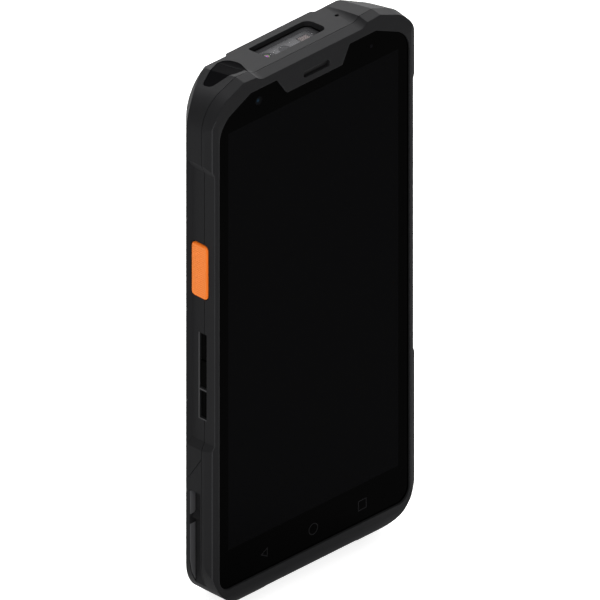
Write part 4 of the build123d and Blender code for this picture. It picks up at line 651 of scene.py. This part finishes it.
class TERMINAL_OT_scanner(Operator):
    """Finishes the scan window and what shows through it, and makes the lamp's lens array"""

    bl_idname = "terminal.scanner"
    bl_label = "Finish Scanner"

    def execute(self, context):
        scanner = context.scene.terminal_scanner
        # Hard-coated clear acrylic: smooth, with a grey haze, partly a painted reflection that makes up for
        # the shade in the window's pocket, over the parts that show through it.
        clear, tree, shader, place = new_material("Hard-coated acrylic window")
        film = node(tree, "ShaderNodeTexNoise", {"Vector": place}, Scale=1 / FILM_SIZE, Detail=2.0)
        vary_roughness(tree, shader, film.outputs["Fac"], least=0.04, most=0.08)
        shader.inputs["Base Color"].default_value = colour("#5c5c5e")
        shader.inputs["Alpha"].default_value = 0.28
        shader.inputs["Specular IOR Level"].default_value = 0.01
        finish_nodes(clear, "scan_window", "rear_camera_window", "flash_lens")
        # Silicone rubber gasket: dead black and dull.
        rubber = moulded("Moulded silicone rubber, gasket", "#040404", "#060606", 0.3 * MM,
                         roughness=0.7, specular=0.02)
        finish_nodes(rubber, "scan_window_gasket", "display_adhesive")
        # Module housings of moulded liquid-crystal polymer: dark grey, dull and speckled.
        module = moulded("Moulded LCP, module housings", "#3c3c3d", "#414142", 0.6 * MM,
                         roughness=0.6, specular=0.05, grain=0.03)
        finish_nodes(module, "front_camera", "rear_camera", "light_sensor", "loudspeaker",
                     "earpiece_receiver", "battery_contacts")
        # The scan engine's face is a smooth moulding, painted a much lighter grey than the other modules as
        # painted light against the shade under the window.
        engine = moulded("Moulded grey LCP, scan engine", "#868688", "#8a8a8c", 1.0 * MM,
                         roughness=0.6, specular=0.03, grain=0.01)
        finish_nodes(engine, "scan_engine")
        # Multi-coated glass lens: dark, with a painted glint, white in the middle and in violet, pink and
        # green bands of the coating's reflection.
        lens, tree, shader, place = new_material("Multi-coated lens glass")
        glint = middle_of("scan_lens") + LENS_PAINTED_GLINT
        glint.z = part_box("scan_lens")[1].z
        painted_glint_rings(tree, shader, place, glint, LENS_RINGS, "#f2ecff", scanner.lens_colour,
                       ((0.18, "#c45cff"), (0.34, "#ff5fa8"), (0.48, "#67d65c"), (0.62, "#202024")))
        shader.inputs["Roughness"].default_value = 0.2
        shader.inputs["Specular IOR Level"].default_value = 0.02
        finish_nodes(lens, "scan_lens")
        # The aimer's smaller lens, smoke grey.
        smoke = moulded("Smoked aimer lens", "#4a4a4c", "#4e4e50", 0.4 * MM,
                        roughness=0.3, specular=0.01, grain=0.03)
        finish_nodes(smoke, "aimer")
        # Silicone potting round the lamps' chips: dark and warm grey, satin.
        potting = moulded("Grey silicone potting, lamps", "#3a3736", "#403d3c", 0.4 * MM,
                          roughness=0.5, specular=0.1, grain=0.04)
        finish_nodes(potting, "illumination_led", "status_led", "flash_led")
        # Moulded clear lenses over the lit chips: pinkish white.
        array = moulded("Moulded lens array, pinkish white", "#fff0ed", "#f8e6e3", 0.2 * MM,
                        roughness=0.4, specular=0.1)
        hand_over(self.lamp_lenses(scanner), array)
        return {"FINISHED"}

    def lamp_lenses(self, scanner):
        """The lamp's array of small square lenses with sloping crowns, shaped once and copied."""
        middle, top = middle_of("illumination_led"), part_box("illumination_led")[1].z
        rows = scanner.lamp_rows
        pitch = scanner.lamp_size / rows
        side = pitch * LENS_SHARE
        first = block((0, 0, 0), (side, side, LENS_BASE))
        edit_faces(first, lambda normal: normal.z > FACING)
        bpy.ops.mesh.inset(thickness=side * LENS_SLOPE)
        bpy.ops.transform.translate(value=(0, 0, LENS_CROWN))
        bpy.ops.object.mode_set(mode="OBJECT")
        lenses = []
        for row in range(rows):
            for column in range(rows):
                copy = first.copy()
                copy.data = first.data.copy()
                bpy.context.collection.objects.link(copy)
                copy.location = (middle.x + (column - (rows - 1) / 2) * pitch,
                                 middle.y + (row - (rows - 1) / 2) * pitch, top + LENS_BASE / 2)
                lenses.append(copy)
        bpy.data.objects.remove(first)
        array = join_pieces(lenses, "lamp_lenses")
        settle(array)
        return array


# ---- the remaining pieces ----------------------------------------------------------------------------

class TERMINAL_OT_fittings(Operator):
    """Finishes the status light's lens, meshes, contacts, screws, port and everything inside, and makes
    the foam pads in the seam"""

    bl_idname = "terminal.fittings"
    bl_label = "Finish Fittings"

    def execute(self, context):
        # Smoked polycarbonate light pipe: almost black and smoother than the shell, with next to no shine.
        smoked = moulded("Smoked polycarbonate, status lens", "#0a0a0b", "#0c0c0d", 1.5 * MM,
                         roughness=0.35, specular=0.0005, grain=0.02)
        finish_nodes(smoked, "status_light_lens")
        # Closed-cell foam, die cut: black, dull and finely pitted.
        foam = moulded("Die-cut closed-cell foam", "#050505", "#080808", 0.2 * MM,
                       roughness=0.9, specular=0.01, grain=0.3)
        hand_over(self.seam_pads(), foam)
        # Woven stainless mesh, blackened: dark, with the small cells of its wires.
        mesh = moulded("Blackened woven steel mesh", "#151515", "#1b1b1b", 0.2 * MM,
                       roughness=0.5, specular=0.2, weave=0.3 * MM)
        finish_nodes(mesh, "earpiece_mesh", "speaker_mesh")
        # Gold over nickel: warm and fairly bright, a little uneven where a cradle's pins rub.
        gold = moulded("Gold-plated contact", "#d9a548", "#c9933a", 0.3 * MM,
                       roughness=0.28, specular=0.5, metallic=1.0)
        finish_nodes(gold, "charging_contacts")
        # Stamped steel, tin-plated: pale grey and satin.
        stamped = moulded("Stamped tin-plated steel", "#a9a9aa", "#9c9c9d", 0.4 * MM,
                          roughness=0.35, specular=0.5, metallic=1.0)
        finish_nodes(stamped, "board_shields", "card_socket", "microphones", "usb_c_port", "vibration_motor")
        # Turned steel with black oxide: dark metallic grey.
        oxide = moulded("Black-oxide steel, screws", "#3c3c3e", "#343436", 0.3 * MM,
                        roughness=0.4, specular=0.5, metallic=1.0)
        finish_nodes(oxide, "housing_screws")
        # Die-cast magnesium plate: light grey with the coarse grain of casting.
        cast = moulded("Die-cast magnesium, chassis", "#a3a4a6", "#8e8f91", 2.0 * MM,
                       roughness=0.5, specular=0.5, metallic=1.0)
        finish_nodes(cast, "mid_chassis")
        # Solder mask over glass-epoxy laminate: dark green, half glossy.
        mask = moulded("Green solder mask, boards", "#16402b", "#1a4a32", 0.5 * MM,
                       roughness=0.35, specular=0.4)
        finish_nodes(mask, "main_board", "lower_board", "side_board_left", "side_board_right")
        # Polyimide film of the flex and the antenna: amber and smooth.
        film = moulded("Polyimide film", "#8c5416", "#9a5f1c", 1.0 * MM, roughness=0.3, specular=0.4)
        finish_nodes(film, "main_flex", "nfc_antenna")
        # Plain polyester sleeve of the battery pack: dark grey, satin.
        sleeve = moulded("Polyester sleeve, battery pack", "#2d2d30", "#343437", 0.8 * MM,
                         roughness=0.45, specular=0.2)
        finish_nodes(sleeve, "battery_pack")
        # Coated film on the back of the display: black, smooth.
        backing = moulded("Display panel backing", "#08080a", "#0b0b0d", 1.0 * MM,
                          roughness=0.35, specular=0.1)
        finish_nodes(backing, "display_panel")
        # Moulded nylon of the switches' bodies: dark grey, satin.
        nylon = moulded("Moulded nylon, switches", "#2a2a2a", "#303030", 0.3 * MM,
                        roughness=0.5, specular=0.2)
        finish_nodes(nylon, "scan_switch_left", "scan_switch_right", "side_key_switches")
        return {"FINISHED"}

    def seam_pads(self):
        """Foam pads inside the seam of frame and housing, which keep light from passing along most of it."""
        seam = (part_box("front_frame")[1].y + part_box("rear_housing")[0].y) / 2
        pads = []
        for left, right, bottom, top in SEAM_PADS:
            pad = block(((left + right) / 2 * MM, seam, (bottom + top) / 2 * MM),
                        ((right - left) * MM, PAD_DEPTH, (top - bottom) * MM))
            pads.append(bevel_edges(pad, PAD_ROUNDING, 2))
        return join_pieces(pads, "seam_seal_pads")


# ---- stage -------------------------------------------------------------------------------------------

class TERMINAL_OT_stage(Operator):
    """Makes the pale floor, the soft studio lights, the surroundings and the camera"""

    bl_idname = "terminal.stage"
    bl_label = "Make Stage"

    def execute(self, context):
        stage = context.scene.terminal_stage
        self.floor(stage)
        self.surroundings(context, stage)
        for name, place, size, setting in SOFTBOXES:
            self.softbox(name, place, size, getattr(stage, setting))
        self.camera(context)
        context.scene.view_settings.view_transform = "Standard"
        return {"FINISHED"}

    def seen_rays(self, tree):
        """1 for rays that show a background: from the camera, off gloss and through clear parts."""
        rays = node(tree, "ShaderNodeLightPath").outputs
        seen = rays["Is Camera Ray"]
        for kind in ("Is Glossy Ray", "Is Transmission Ray"):
            seen = node(tree, "ShaderNodeMath", {0: seen, 1: rays[kind]}, operation="MAXIMUM").outputs[0]
        return seen

    def floor(self, stage):
        """A large level floor whose paint shows as white and keeps the object's shadow."""
        floor = start_piece(bpy.ops.mesh.primitive_plane_add, size=stage.floor_size, location=(0, 0, 0))
        floor.name = "floor"
        # Emulsion paint: pale grey, dead matt.
        material = bpy.data.materials.new("Matt painted floor")
        material.use_nodes = True
        tree = material.node_tree
        tree.nodes.clear()
        paint = node(tree, "ShaderNodeBsdfDiffuse", Color=colour(stage.floor_colour))
        glow = node(tree, "ShaderNodeMath", {0: self.seen_rays(tree)}, operation="MULTIPLY")
        glow.inputs[1].default_value = stage.floor_glow
        light = node(tree, "ShaderNodeEmission", {"Strength": glow.outputs[0]})
        both = node(tree, "ShaderNodeAddShader", {0: paint.outputs[0], 1: light.outputs[0]})
        node(tree, "ShaderNodeOutputMaterial", {"Surface": both.outputs[0]})
        floor.data.materials.append(material)

    def surroundings(self, context, stage):
        """A white background that lights the object only faintly."""
        world = bpy.data.worlds.new("Studio surroundings")
        context.scene.world = world
        world.use_nodes = True
        tree = world.node_tree
        tree.nodes.clear()
        level = node(tree, "ShaderNodeMapRange", {"Value": self.seen_rays(tree)})
        level.inputs["To Min"].default_value = stage.ambient
        level.inputs["To Max"].default_value = 1.0
        light = node(tree, "ShaderNodeBackground", {"Strength": level.outputs["Result"]})
        light.inputs["Color"].default_value = (1, 1, 1, 1)
        node(tree, "ShaderNodeOutputWorld", {"Surface": light.outputs[0]})

    def softbox(self, name, place, size, watts):
        """A rectangular area light that looks at the middle of the terminal."""
        lamp = start_piece(bpy.ops.object.light_add, type="AREA", location=place)
        lamp.name = name
        lamp.data.shape = "RECTANGLE"
        lamp.data.size, lamp.data.size_y = size
        lamp.data.energy = watts
        lamp.visible_camera = False
        lamp.rotation_euler = (LIGHT_AIM - Vector(place)).to_track_quat("-Z", "Y").to_euler()

    def camera(self, context):
        """A parallel view, so that equal lengths stay equal all over the picture."""
        camera = start_piece(bpy.ops.object.camera_add, location=CAMERA_AIM - CAMERA_LOOK)
        camera.data.type = "ORTHO"
        camera.data.ortho_scale = CAMERA_WIDTH
        camera.data.clip_start, camera.data.clip_end = 0.01, 20.0
        camera.rotation_euler = CAMERA_LOOK.to_track_quat("-Z", "Y").to_euler()
        context.scene.camera = camera


# ---- add-on ------------------------------------------------------------------------------------------

class TERMINAL_PT_panel(Panel):
    """Lists the terminal's operators and settings"""

    bl_label = "Barcode Data Terminal"
    bl_idname = "TERMINAL_PT_panel"
    bl_space_type = "VIEW_3D"
    bl_region_type = "UI"
    bl_category = "Terminal"

    def draw(self, context):
        for group in SETTINGS:
            box = self.layout.box()
            for name in SETTINGS[group].__annotations__:
                box.prop(getattr(context.scene, group), name)
        for operator in OPERATORS:
            self.layout.operator(operator.bl_idname)


SETTINGS = {
    "terminal_shell": ShellSettings,
    "terminal_keys": KeySettings,
    "terminal_glass": GlassSettings,
    "terminal_scanner": ScannerSettings,
    "terminal_stage": StageSettings,
}
OPERATORS = (
    TERMINAL_OT_stage,
    TERMINAL_OT_shell,
    TERMINAL_OT_keys,
    TERMINAL_OT_glass,
    TERMINAL_OT_marks,
    TERMINAL_OT_camera_windows,
    TERMINAL_OT_scanner,
    TERMINAL_OT_fittings,
)


def register():
    """Registers every class, and the settings on the scene."""
    for group in SETTINGS.values():
        bpy.utils.register_class(group)
    for operator in OPERATORS:
        bpy.utils.register_class(operator)
    bpy.utils.register_class(TERMINAL_PT_panel)
    for name, group in SETTINGS.items():
        setattr(bpy.types.Scene, name, PointerProperty(type=group))


def unregister():
    """Takes all that register added away again."""
    for name in SETTINGS:
        delattr(bpy.types.Scene, name)
    bpy.utils.unregister_class(TERMINAL_PT_panel)
    for operator in reversed(OPERATORS):
        bpy.utils.unregister_class(operator)
    for group in reversed(SETTINGS.values()):
        bpy.utils.unregister_class(group)


def main():
    """Registers the add-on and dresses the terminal."""
    register()
    bpy.ops.terminal.stage()
    bpy.ops.terminal.shell()
    bpy.ops.terminal.keys()
    bpy.ops.terminal.glass()
    bpy.ops.terminal.marks()
    bpy.ops.terminal.camera_windows()
    bpy.ops.terminal.scanner()
    bpy.ops.terminal.fittings()


if __name__ == "__main__":
    main()
